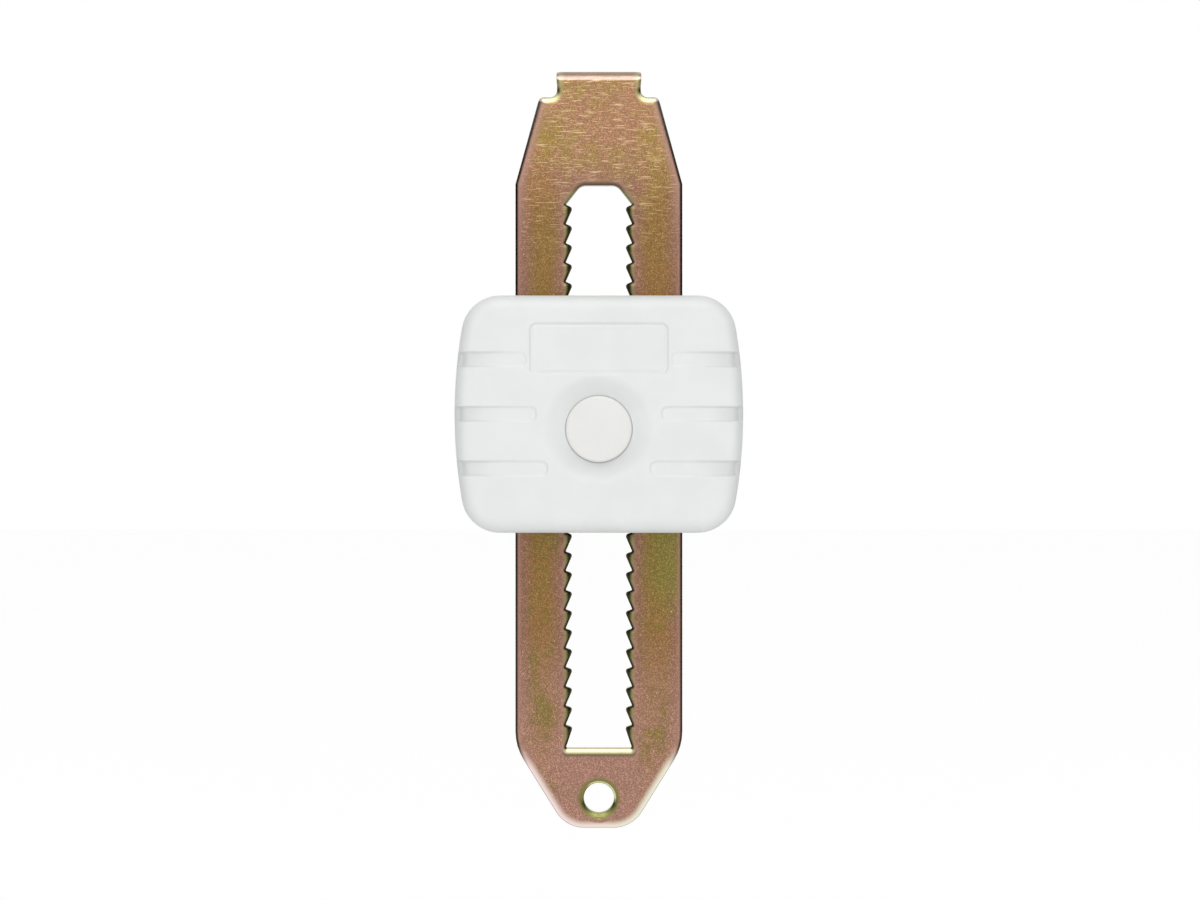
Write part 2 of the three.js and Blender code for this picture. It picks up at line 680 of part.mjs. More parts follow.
function guideScrew(end) {
  const cone = (GUIDE_SCREW_HEAD - GUIDE_SCREW_SHANK) / 2;
  const body = turned([
    [0, guideBack],
    [GUIDE_SCREW_HEAD / 2, guideBack],
    [GUIDE_SCREW_SHANK / 2, guideBack + cone],
    [GUIDE_SCREW_SHANK / 2, guideBack + GUIDE_SCREW_LENGTH - GUIDE_SCREW_SHANK / 2],
    [0, guideBack + GUIDE_SCREW_LENGTH],
  ], SCREW_SIDES);
  return moved(cut(body, driveRecess(guideBack, GUIDE_SCREW_HEAD)), 0, end * guideScrewOffset);
}

// Finishes

const plated = { color: 0x9d7a58, roughness: 0.45, metalness: 0.85 };
const whitePlastic = { color: 0xe7eae9, roughness: 0.45, metalness: 0 };
const warmPlastic = { color: 0xe8e7e5, roughness: 0.4, metalness: 0 };
const bareSteel = { color: 0x9a9ca0, roughness: 0.35, metalness: 1 };
const zincSteel = { color: 0xb4b7bb, roughness: 0.3, metalness: 1 };

function piece(name, solid, finish) {
  const mesh = new THREE.Mesh(geometryOf(solid), new THREE.MeshStandardMaterial(finish));
  mesh.name = name;
  return mesh;
}

// The case's own frame: the button's axis meets the bar's front face at its origin
const slider = new THREE.Group();
slider.position.set(0, barFront, buttonHeight);
slider.add(
  piece('front_shell', frontShell(), whitePlastic),
  piece('rear_cover', rearCover(), whitePlastic),
  piece('push_button', pushButton(), warmPlastic),
  piece('left_pawl', pawl(-1), bareSteel),
  piece('right_pawl', pawl(1), bareSteel),
  piece('upper_pawl_spring', pawlSpring(1), zincSteel),
  piece('lower_pawl_spring', pawlSpring(-1), zincSteel),
  piece('pawl_guide_plate', guidePlate(), bareSteel),
  piece('upper_guide_screw', guideScrew(1), zincSteel),
  piece('lower_guide_screw', guideScrew(-1), zincSteel),
);
bossPlaces.forEach((place, k) => {
  slider.add(piece(`case_screw_${k + 1}`, caseScrew(place), zincSteel));
});

const lock = new THREE.Group();
lock.add(piece('locking_bar', lockingBar(), plated), slider);

export default lock;
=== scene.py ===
# %% [markdown]
# # A portable door lock
# The lock is a hooked steel bar with a saw-toothed slot, and a white case that ratchets along it.
# This notebook dresses the plain CAD model: pressed edges and a worn yellow plating on the bar, soft
# moulded forms on the case, and a plain white studio round it.
# First comes the frame, the CAD model that every piece is built on. The dressed model has to stay inside
# it.

# %% Load the frame
import math

import bmesh
import bpy
import numpy as np
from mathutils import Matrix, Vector
from mathutils.geometry import delaunay_2d_cdt


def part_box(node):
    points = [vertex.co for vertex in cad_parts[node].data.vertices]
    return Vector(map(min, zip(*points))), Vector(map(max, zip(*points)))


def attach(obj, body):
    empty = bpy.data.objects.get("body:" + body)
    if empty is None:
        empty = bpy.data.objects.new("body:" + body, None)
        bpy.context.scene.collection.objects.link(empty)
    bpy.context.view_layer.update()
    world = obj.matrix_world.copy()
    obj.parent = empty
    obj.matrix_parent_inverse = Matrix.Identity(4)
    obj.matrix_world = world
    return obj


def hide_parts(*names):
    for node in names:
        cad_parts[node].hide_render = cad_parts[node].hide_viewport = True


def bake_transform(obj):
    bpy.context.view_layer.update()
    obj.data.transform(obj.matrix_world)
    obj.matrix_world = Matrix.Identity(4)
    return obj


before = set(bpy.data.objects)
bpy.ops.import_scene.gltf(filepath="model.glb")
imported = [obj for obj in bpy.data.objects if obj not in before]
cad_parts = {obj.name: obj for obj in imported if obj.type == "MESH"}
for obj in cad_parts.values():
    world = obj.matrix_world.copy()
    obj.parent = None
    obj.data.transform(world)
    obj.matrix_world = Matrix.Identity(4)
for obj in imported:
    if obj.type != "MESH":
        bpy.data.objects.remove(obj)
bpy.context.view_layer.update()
MM = 0.001

# %% [markdown]
# ## The camera
# The lock is photographed square on, from the button's side, so that the bar shows as a flat drawing.
# The camera stands 400 mm in front of the bar's face, level with the middle of the picture, and the lens
# follows from the scale that the picture has on that face: 1200 pixels show 217.7 mm.

# %% Set up the camera
BAR_THICKNESS = 2.0
BAR_BACK = -4.75
BAR_FRONT = BAR_BACK - BAR_THICKNESS
SENSOR = 36.0
CAMERA_REACH = 400.0
PICTURE_WIDTH = 1200 / 5.512

scene = bpy.context.scene
camera = bpy.data.objects.new("camera", bpy.data.cameras.new("camera"))
scene.collection.objects.link(camera)
camera.data.sensor_width = SENSOR
camera.data.lens = SENSOR * CAMERA_REACH / PICTURE_WIDTH
camera.location = Vector((0.2, BAR_FRONT - CAMERA_REACH, -66.97)) * MM
camera.rotation_euler = (math.radians(90), 0, 0)
scene.camera = camera
scene.view_settings.view_transform = "Standard"
print("lens in mm:", round(camera.data.lens, 2))

# %% [markdown]
# ## A short way to write nodes
# Node trees are long to write one socket at a time. A small class that wraps an output socket lets sums of
# sockets read as plain arithmetic, and one method makes every other node: it takes the node's type, the
# settings that decide its sockets, and then the values or links of those sockets. The same class serves
# shader trees and Geometry Nodes.

# %% Wrap sockets for arithmetic


class Wire:
    """An output socket of a node, ready for arithmetic."""

    def __init__(self, tree, socket):
        self.tree = tree
        self.socket = socket

    @classmethod
    def node(cls, tree, kind, settings=None, sockets=None, out=0):
        made = tree.nodes.new(kind)
        for name, value in (settings or {}).items():
            setattr(made, name, value)
        for key, value in (sockets or {}).items():
            if isinstance(value, Wire):
                tree.links.new(value.socket, made.inputs[key])
            else:
                made.inputs[key].default_value = value
        return cls(tree, made.outputs[out]) if made.outputs else made

    def other(self, out):
        return Wire(self.tree, self.socket.node.outputs[out])

    def math(self, operation, *values):
        return Wire.node(self.tree, "ShaderNodeMath", {"operation": operation}, dict(enumerate(values)))

    def __abs__(self):
        return self.math("ABSOLUTE", self)

    def least(self, value):
        return self.math("MAXIMUM", self, value)

    def most(self, value):
        return self.math("MINIMUM", self, value)

    def rise(self, low, high, start=0.0, end=1.0):
        """Goes smoothly from start to end while this goes from low to high."""
        sockets = {"Value": self, "From Min": low, "From Max": high, "To Min": start, "To Max": end}
        return Wire.node(self.tree, "ShaderNodeMapRange", {"interpolation_type": "SMOOTHSTEP"}, sockets)

    def fall(self, low, high):
        """Goes smoothly from 1 to 0 while this goes from low to high."""
        return self.rise(low, high, 1.0, 0.0)


print("sockets wrapped")

# %% Add the operators


def operators(operation):
    """An operator and its reflected form, each adding one Math node."""
    return (lambda wire, value: wire.math(operation, wire, value),
            lambda wire, value: wire.math(operation, value, wire))


OPERATIONS = {"add": "ADD", "sub": "SUBTRACT", "mul": "MULTIPLY", "truediv": "DIVIDE", "pow": "POWER"}
for sign, operation in OPERATIONS.items():
    plain, reflected = operators(operation)
    setattr(Wire, f"__{sign}__", plain)
    setattr(Wire, f"__r{sign}__", reflected)


def blend(share, first, second):
    """One colour over another, by a share from 0 to 1."""
    colours = [value if isinstance(value, Wire) else (*value, 1) for value in (first, second)]
    sockets = {0: share, 6: colours[0], 7: colours[1]}
    return Wire.node(share.tree, "ShaderNodeMix", {"data_type": "RGBA"}, sockets, out=2)


print("node arithmetic ready")

# %% [markdown]
# ## The studio
# Product pictures of this kind are lit by big soft boxes on white. A white world to the camera gives the
# clean ground, and the light itself is the same world seen by the other rays: a broad bright front that the
# flat bar mirrors, a softbox above it, and darker sides, which shade the bar's rolled edges. The thin dark
# lines down those edges are also painted into the plating, as painted dark reflection. Two lamps help it.
# One large soft lamp beside the camera lifts the matt plastic and stays out of the metal's reflections, and
# one strip above the camera is seen only as a highlight on the metal's upper edges.
# Metal that mirrors the ground behind the lock sees it as white as the camera does. The floor is well below the
# lock. It shows white to the camera and keeps the lock's soft shadow.

# %% Light the studio
FRONT_LEVEL = 0.85
TOP_LEVEL = 0.8
SIDE_LEVEL = 0.05
BACK_LEVEL = 0.95

world = bpy.data.worlds.new("white_studio")
scene.world = world
world.use_nodes = True
tree = world.node_tree
tree.nodes.clear()
way = Wire.node(tree, "ShaderNodeTexCoord", out="Generated")
x = Wire.node(tree, "ShaderNodeSeparateXYZ", None, {0: way})
y, z = x.other(1), x.other(2)
front = (0 - y).rise(0.62, 0.86)
above = z.rise(0.34, 0.6) * y.fall(-0.1, 0.4)
behind = y.rise(0.1, 0.5)
level = SIDE_LEVEL + front * FRONT_LEVEL + above * TOP_LEVEL + behind * BACK_LEVEL
ray = Wire.node(tree, "ShaderNodeLightPath", out="Is Camera Ray")
seen = ray.least(ray.other("Is Transmission Ray")).least(ray.other("Is Glossy Ray") * behind)
strength = level + seen * (1 - level)
backdrop = Wire.node(tree, "ShaderNodeBackground", None, {"Color": (1, 1, 1, 1), "Strength": strength})
Wire.node(tree, "ShaderNodeOutputWorld", None, {"Surface": backdrop})
print("world nodes:", len(tree.nodes))

# %% Hang the lamps


def soft_lamp(name, place, aim, width, height, power):
    """A rectangular lamp at a place in millimetres, facing an aim."""
    lamp = bpy.data.lights.new(name, "AREA")
    lamp.shape = "RECTANGLE"
    lamp.size, lamp.size_y, lamp.energy = width * MM, height * MM, power
    made = bpy.data.objects.new(name, lamp)
    scene.collection.objects.link(made)
    made.location = Vector(place) * MM
    made.rotation_euler = (Vector(aim) - Vector(place)).to_track_quat("-Z", "Y").to_euler()
    made.visible_camera = False
    return made


LOCK_MIDDLE = (0.0, -7.0, -65.0)
fill_lamp = soft_lamp("matt_fill", (0, -900, -40), LOCK_MIDDLE, 700, 700, 3.0)
fill_lamp.visible_glossy = False
strip_lamp = soft_lamp("edge_strip", (0, -418, 501), LOCK_MIDDLE, 700, 620, 2.6)
strip_lamp.visible_diffuse = False
print("lamps:", fill_lamp.name, strip_lamp.name)

# %% Lay the floor
FLOOR_HEIGHT = -190.0
FLOOR_REACH = 3000.0
SQUARE = ((1, -1), (1, 1), (-1, 1), (-1, -1))


def linked_mesh(name, points, faces):
    """A mesh object from points in millimetres, with its place in its mesh."""
    mesh = bpy.data.meshes.new(name)
    mesh.from_pydata([tuple(float(v) * MM for v in p) for p in points], [], [tuple(int(i) for i in f) for f in faces])
    mesh.update()
    made = bpy.data.objects.new(name, mesh)
    scene.collection.objects.link(made)
    return made


def new_material(name):
    """An empty material, ready for nodes."""
    made = bpy.data.materials.new(name)
    made.use_nodes = True
    made.node_tree.nodes.clear()
    return made


floor_paint = new_material("floor_white")
tree = floor_paint.node_tree
matt = Wire.node(tree, "ShaderNodeBsdfDiffuse", None, {"Color": (0.86, 0.86, 0.86, 1)})
glow = Wire.node(tree, "ShaderNodeEmission", None, {"Color": (1, 1, 1, 1), "Strength": 1.9})
ray = Wire.node(tree, "ShaderNodeLightPath", out="Is Camera Ray")
seen = ray.least(ray.other("Is Glossy Ray")).least(ray.other("Is Transmission Ray"))
paint = Wire.node(tree, "ShaderNodeMixShader", None, {0: seen * 0.25, 1: matt, 2: glow})
Wire.node(tree, "ShaderNodeOutputMaterial", None, {"Surface": paint})
corners = [(sx * FLOOR_REACH, sy * FLOOR_REACH, FLOOR_HEIGHT) for sx, sy in SQUARE]
floor = linked_mesh("floor", corners, [(0, 1, 2, 3)])
floor.data.materials.append(floor_paint)
print("floor at", FLOOR_HEIGHT, "mm")

# %% [markdown]
# ## Drawing flat outlines
# The bar is cut from sheet and the case is moulded from a flat drawing, so both start as outlines. Each is a
# list of corners with a radius. An outline is drawn several times, each time a little further in, so that the
# edge has rings of points that a rolled or rounded edge can follow. A Bevel modifier could round edges too,
# but it stumbles where 56 small teeth meet, and the rings say for every point how far it is from the edge.

# %% Round corners and inset outlines
CORNER_SHARE = 0.48
CORNER_STEP = math.radians(9)


def unit(vectors):
    return vectors / np.linalg.norm(vectors, axis=-1, keepdims=True)


def left_of(ways):
    return np.stack([-ways[..., 1], ways[..., 0]], axis=-1)


def outline_ring(corners, inset=0.0, cuts=0):
    """The outline of (x, z, radius) corners, moved in by inset. The material is on the left of its way round."""
    corners = np.array(corners, float)
    places, radii = corners[:, :2], corners[:, 2]
    runs = np.roll(places, -1, axis=0) - places
    lengths = np.linalg.norm(runs, axis=1)
    leaving = unit(runs)
    arriving = np.roll(leaving, 1, axis=0)
    turns = np.arctan2(arriving[:, 0] * leaving[:, 1] - arriving[:, 1] * leaving[:, 0], (arriving * leaving).sum(1))
    halves = np.tan(np.abs(turns) / 2)
    room = CORNER_SHARE * np.minimum(lengths, np.roll(lengths, 1))
    radii = np.minimum(radii * halves, room) / np.maximum(halves, 1e-9)
    mitre = (left_of(arriving) + left_of(leaving)) / (1 + (arriving * leaving).sum(1))[:, None]
    moved = places + inset * mitre
    inner = np.maximum(radii - inset * np.sign(turns), 0.01)
    arcs = []
    for place, way, turn, half, radius in zip(moved, arriving, turns, halves, inner):
        start = place - way * radius * half
        centre = start + np.sign(turn) * radius * left_of(way)
        steps = max(1, math.ceil(abs(turn) / CORNER_STEP))
        spokes = [turn * k / steps for k in range(steps + 1)]
        ax, az = start - centre
        arms = [(ax * math.cos(a) - az * math.sin(a), ax * math.sin(a) + az * math.cos(a)) for a in spokes]
        arcs.append([centre + arm for arm in arms])
    points = []
    for arc, following in zip(arcs, arcs[1:] + arcs[:1]):
        points += arc
        points += [arc[-1] + (following[0] - arc[-1]) * (k + 1) / (cuts + 1) for k in range(cuts)]
    return np.array(points)


def mirrored(right_side):
    """A closed list of corners from those of its right side."""
    return right_side + [(-x, z, r) for x, z, r in reversed(right_side)]


def circle(radius, x=0.0, z=0.0, sides=64):
    angles = np.arange(sides) * 2 * math.pi / sides
    return np.stack([x + radius * np.cos(angles), z + radius * np.sin(angles)], axis=1)


square = outline_ring([(x, z, 0.5) for x, z in SQUARE], 0.2)
print("a test square moved in by 0.2 reaches", round(float(square.max()), 3))

# %% Fill outlines with triangles


def filled(loops, lines=()):
    """Triangles over closed loops and open lines, all in one plane: (points, triangles)."""
    points, edges = [], []
    for path, closed in [(loop, True) for loop in loops] + [(line, False) for line in lines]:
        first, count = len(points), len(path)
        points += [Vector(p) for p in path]
        edges += [(first + k, first + (k + 1) % count) for k in range(count if closed else count - 1)]
    placed, _, triangles, _, _, _ = delaunay_2d_cdt(points, edges, [], 0, 1e-5)
    return np.array([tuple(p) for p in placed]), np.array([tuple(t) for t in triangles])


def within(points, loop):
    """Which points lie inside a loop, by counting crossings."""
    x, z = points[:, 0], points[:, 1]
    odd = np.zeros(len(points), bool)
    for (ax, az), (bx, bz) in zip(loop, np.roll(loop, -1, axis=0)):
        if az != bz:
            odd ^= ((az > z) != (bz > z)) & (x < ax + (z - az) * (bx - ax) / (bz - az))
    return odd


def lifted(plan, lift):
    """Points from a flat plan and their heights."""
    return np.stack([plan[:, 0], np.broadcast_to(lift, len(plan)), plan[:, 1]], axis=1)


def edge_loops(triangles):
    """The open border of a triangle sheet as lists of points, one list for each loop."""
    ways = {(a, b) for t in triangles.tolist() for a, b in zip(t, t[1:] + t[:1])}
    onward = {a: b for a, b in ways if (b, a) not in ways}
    loops = []
    while onward:
        loop = [next(iter(onward))]
        while loop[-1] in onward:
            loop.append(onward.pop(loop[-1]))
        loops.append(loop[:-1])
    return loops


square_points, square_faces = filled([square])
print("the square fills with", len(square_faces), "triangles and has", len(edge_loops(square_faces)), "edge")

# %% Finish a mesh


def finish_mesh(made, material, smooth=40):
    """Turns a closed mesh's faces outwards, smooths all but its sharp edges, and gives it its material."""
    work = bmesh.new()
    work.from_mesh(made.data)
    bmesh.ops.delete(work, geom=[v for v in work.verts if not v.link_faces], context="VERTS")
    bmesh.ops.remove_doubles(work, verts=work.verts, dist=1e-7)
    bmesh.ops.dissolve_degenerate(work, edges=work.edges, dist=1e-7)
    bmesh.ops.recalc_face_normals(work, faces=work.faces)
    open_edges = sum(1 for e in work.edges if len(e.link_faces) != 2)
    work.to_mesh(made.data)
    work.free()
    made.data.set_sharp_from_angle(angle=math.radians(smooth))
    made.data.materials.clear()
    made.data.materials.append(material)
    print(made.name, "faces:", len(made.data.polygons), "open edges:", open_edges)
    return made


print("mesh finishing ready")

# %% [markdown]
# ## The locking bar
# The real bar is blanked in a press, which rolls the edges over on the punch side, and its tab is then folded
# back into a hook. It is made the same way here: a flat blank of triangles with rings along every cut, and
# then a Geometry Nodes press that gives it thickness, rolls the front edges, leans the teeth back and folds the
# tab. Modelling the bent shape by hand would work once, but the press keeps its sizes as inputs.

# %% Draw the blank
BAR_HALF = 15.15
BAR_BOTTOM = -135.6
SHOULDER = -2.9
SHOULDER_FOOT = -18.7
TAIL_TOP = -120.9
TAB_HALF = 7.6
BEND_RADIUS = 0.5
BEND_START = -0.5
BEND_RUN = (BEND_RADIUS + BAR_THICKNESS / 2) * math.pi / 2
TAB_TOP = BEND_START + BEND_RUN + 8.5
SLOT_TOP = -18.9
FIRST_ROOT = -22.4
TEETH = 28
TOOTH_PITCH = 3.5
TOOTH_DEPTH = 1.3
TOOTH_RUN = 0.52
SLOT_HALF = 6.05
HOLE = (0.0, -130.2, 2.75)

blank = mirrored([
    (6.0, BAR_BOTTOM, 6.0),
    (BAR_HALF, TAIL_TOP, 10.0),
    (BAR_HALF, SHOULDER_FOOT, 0.6),
    (10.8, SHOULDER, 1.1),
    (TAB_HALF, SHOULDER, 1.3),
    (TAB_HALF, TAB_TOP, 2.0),
])
teeth = []
for k in range(TEETH):
    root = FIRST_ROOT - k * TOOTH_PITCH
    teeth += [(SLOT_HALF, root, 0.16), (SLOT_HALF - TOOTH_DEPTH, root - TOOTH_RUN, 0.52)]
LAST_ROOT = FIRST_ROOT - TEETH * TOOTH_PITCH
SLOT_BOTTOM = LAST_ROOT - 0.75
slot = mirrored([(3.3, SLOT_TOP, 2.0), *teeth, (SLOT_HALF, SLOT_BOTTOM, 0.3)])
print("blank corners:", len(blank), "slot corners:", len(slot), "developed tab top:", round(TAB_TOP, 2))

# %% Cut the blank
ROLL_WIDTH = 1.5
INSETS = [0.0, 0.03, 0.1, 0.2, 0.33, 0.5, 0.72, 1.0, 1.3, 1.6, 2.0, 2.4, 2.55]

rings = []
for inset in INSETS:
    hole_ring = circle(HOLE[2] + inset, HOLE[0], HOLE[1], 72)
    rings += [outline_ring(blank, inset), outline_ring(slot, inset, 2), hole_ring]
fold_heights = np.arange(BEND_START - 0.6, BEND_START + BEND_RUN + 0.5, 0.16)
folds = [[(-TAB_HALF - 1, h), (TAB_HALF + 1, h)] for h in fold_heights]
sheet_points, sheet_faces = filled(rings, folds)
centres = sheet_points[sheet_faces].mean(1)
solid = within(centres, rings[0]) & ~within(centres, rings[1]) & ~within(centres, rings[2])
sheet_faces = sheet_faces[solid]
print("sheet points:", len(sheet_points), "triangles:", len(sheet_faces))

# %% Measure each point's distance from the cut


def distance_to(points, loop):
    """How far points are from a closed loop."""
    best = np.full(len(points), 1e9)
    for a, b in zip(loop, np.roll(loop, -1, axis=0)):
        run = b - a
        share = np.clip(((points - a) @ run) / max(run @ run, 1e-12), 0, 1)
        best = np.minimum(best, np.linalg.norm(points - a - share[:, None] * run, axis=1))
    return best


from_cut = np.minimum.reduce([distance_to(sheet_points, ring) for ring in rings[:3]])
count = len(sheet_points)
blank_points = np.zeros((2 * count, 3))
blank_points[:, [0, 2]] = np.concatenate([sheet_points, sheet_points])
blank_faces = [tuple(t) for t in sheet_faces] + [tuple(t[::-1] + count) for t in sheet_faces]
for loop in edge_loops(sheet_faces):
    blank_faces += [(b, a, a + count, b + count) for a, b in zip(loop, loop[1:] + loop[:1])]
bar = linked_mesh("pressed_bar", blank_points, blank_faces)
for name, values in (("inset", np.tile(from_cut, 2)), ("back", np.repeat([0.0, 1.0], count))):
    bar.data.attributes.new(name, "FLOAT", "POINT").data.foreach_set("value", values)
print("furthest point from a cut:", round(float(from_cut.max()), 2), "mm")

# %% [markdown]
# ## Finish: yellow passivated plating
# The steel bar is zinc plated and then dipped in a yellow passivating bath. The film is so thin that it
# shows interference colours: gold and olive in the middle of each strip, and mauve and pink towards the edges.
# Under it the sheet's grain sparkles, and the hook end is rubbed. The lime and cream on the upward-facing rolled
# edges and beside the tab, the pale tail edges and the glint in the hanging hole are painted highlights. The dark
# lines along the front edges, round the hole, on the teeth, at the slot's arch and below the slot's bottom are
# painted shade and painted dark reflection.
# A painted image would be quickest, but it can't be sized or reused, so the colours follow from where a point
# is on the bar, and the grain from noise. The rolled edges carry their distance from the cut as an attribute.

# %% Make noise, grain and bump


def speckle(place, scale, detail=2.0, rough=0.5, stretch=(1, 1, 1)):
    """Noise at a scale in cycles per millimetre, from 0 to 1."""
    size = tuple(scale * s / MM for s in stretch)
    spread = Wire.node(place.tree, "ShaderNodeVectorMath", {"operation": "MULTIPLY"}, {0: place, 1: size})
    sockets = {"Vector": spread, "Scale": 1.0, "Detail": detail, "Roughness": rough}
    return Wire.node(place.tree, "ShaderNodeTexNoise", None, sockets)


def crystals(place, scale):
    """A random value for each grain of a metal, at a scale in grains per millimetre, from 0 to 1."""
    sockets = {"Vector": place, "Scale": scale / MM}
    shade = Wire.node(place.tree, "ShaderNodeTexVoronoi", {"feature": "F1"}, sockets, out="Color")
    return Wire.node(place.tree, "ShaderNodeSeparateColor", None, {0: shade})


def tinted(colour, factor):
    """A colour made lighter or darker by a factor."""
    grey = Wire.node(factor.tree, "ShaderNodeCombineColor", None, {0: factor, 1: factor, 2: factor})
    settings = {"data_type": "RGBA", "blend_type": "MULTIPLY"}
    return Wire.node(factor.tree, "ShaderNodeMix", settings, {0: 1.0, 6: colour, 7: grey}, out=2)


def bumped(height, strength, distance):
    """A normal from a height in millimetres."""
    sockets = {"Strength": strength, "Distance": distance * MM, "Height": height}
    return Wire.node(height.tree, "ShaderNodeBump", None, sockets)


print("noise helpers ready")

# %% Start, layer and end a material


def attribute(tree, name):
    return Wire.node(tree, "ShaderNodeAttribute", {"attribute_name": name}, out="Fac")


def started(name):
    """A new material and the place of each point in its object's frame."""
    made = new_material(name)
    return made, Wire.node(made.node_tree, "ShaderNodeTexCoord", out="Object")


def layered(colour, layers):
    """Lays tints over a colour in turn, each by its own share."""
    for share, tint in layers:
        colour = blend(share, colour, tint)
    return colour


def principled(made, sockets):
    """Gives a material one Principled shader."""
    shader = Wire.node(made.node_tree, "ShaderNodeBsdfPrincipled", None, sockets)
    Wire.node(made.node_tree, "ShaderNodeOutputMaterial", None, {"Surface": shader})
    return made


print("material helpers ready")

# %% Name the plating's colours
# Some of these stand for light: the pale tail colours, the neck, lime and cream tints and the hole's glint are painted
# highlights, and the arch colours, the hole ring, the tooth-root olive, the foot shade and the near-black edge colour
# are painted shade and painted dark reflection. The rest are the plating's own colours.
GOLD, OLIVE = (0.30, 0.165, 0.062), (0.25, 0.188, 0.048)
PINK_MAUVE, BROWN_MAUVE = (0.335, 0.175, 0.14), (0.285, 0.15, 0.105)
RUBBED_TAN, RUBBED_GOLD = (0.44, 0.24, 0.13), (0.4, 0.275, 0.085)
LEAF, ROSE = (0.25, 0.215, 0.055), (0.45, 0.25, 0.185)
SPECK, SCRATCH = (0.74, 0.5, 0.28), (0.8, 0.6, 0.36)
EDGE_PINK, FLANK_PINK = (0.46, 0.255, 0.21), (0.44, 0.26, 0.22)
TAIL_HIGHLIGHT_PINK, TAIL_HIGHLIGHT_CREAM = (0.95, 0.78, 0.74), (0.9, 0.87, 0.7)
WALL_OLIVE, NECK_HIGHLIGHT_LIME = (0.5, 0.46, 0.2), (0.5, 0.5, 0.2)
ARCH_SHADE_GREEN, ARCH_SHADE_BROWN = (0.25, 0.27, 0.11), (0.15, 0.11, 0.07)
HIGHLIGHT_LIME, HIGHLIGHT_CREAM = (0.6, 0.62, 0.34), (0.55, 0.54, 0.41)
HOLE_RING_SHADE, HOLE_GLINT = (0.19, 0.2, 0.045), (0.95, 0.95, 0.6)
ROOT_SHADE_OLIVE, FOOT_SHADE, PAINTED_DARK_EDGE = (0.26, 0.26, 0.1), (0.09, 0.085, 0.03), (0.022, 0.022, 0.007)
HOOK_BROWN, CREASE_PINK = (0.36, 0.27, 0.2), (0.41, 0.31, 0.275)
# The lightest is the painted glint in the hole and the darkest the painted dark edge colour.
print("lightest and darkest plating:", HOLE_GLINT, PAINTED_DARK_EDGE)

# %% Colour the sheet
STRIP_MIDDLE = 10.3
STRIP_HALF = 4.6


def sheet_colour(place, x, z, grain):
    """The plating's colour away from the edges, and where it is scratched. Lengths are in millimetres."""
    drift = speckle(place, 0.11, 3.0)
    cloud = speckle(place, 0.45, 3.0, 0.6)
    patch = (drift * 0.6 + cloud * 0.4).rise(0.42, 0.6)
    middle = (abs(abs(x) - STRIP_MIDDLE + (drift - 0.5) * 3.0) / STRIP_HALF).fall(0.15, 1.0)
    strip = blend(patch * z.rise(-56.0, -36.0, 1.0, 0.3), GOLD, OLIVE)
    top = (z + (cloud - 0.5) * 8.0).rise(-26.0, -10.0)
    green = z.rise(-102.0, -88.0) * z.fall(-78.0, -60.0) * x.rise(6.0, 12.0)
    low = z.fall(-120.0, -96.0) * (1 - patch * middle * 0.75)
    rubbed = blend(patch * 0.9, RUBBED_TAN, RUBBED_GOLD)
    colour = blend(middle, blend(cloud, PINK_MAUVE, BROWN_MAUVE), strip)
    colour = layered(colour, [(top * 0.8, rubbed), (green * 0.85, LEAF), (low * 0.75, ROSE)])
    colour = tinted(colour, 0.73 + crystals(place, 7.4) ** 3 * 0.86 + (grain - 0.5) * 0.45)
    speck = speckle(place, 1.5, 2.0, 0.5).rise(0.68, 0.76)
    streak = speckle(place, 1.0, 2.0, 0.5, (0.42, 1, 6.0)).rise(0.6, 0.66) * z.rise(-38.0, -11.0)
    return layered(colour, [(speck * 0.7, SPECK), (streak * 0.8, SCRATCH)]), streak


print("gold strips run", STRIP_MIDDLE, "mm from the bar's middle")

# %% Colour the edges


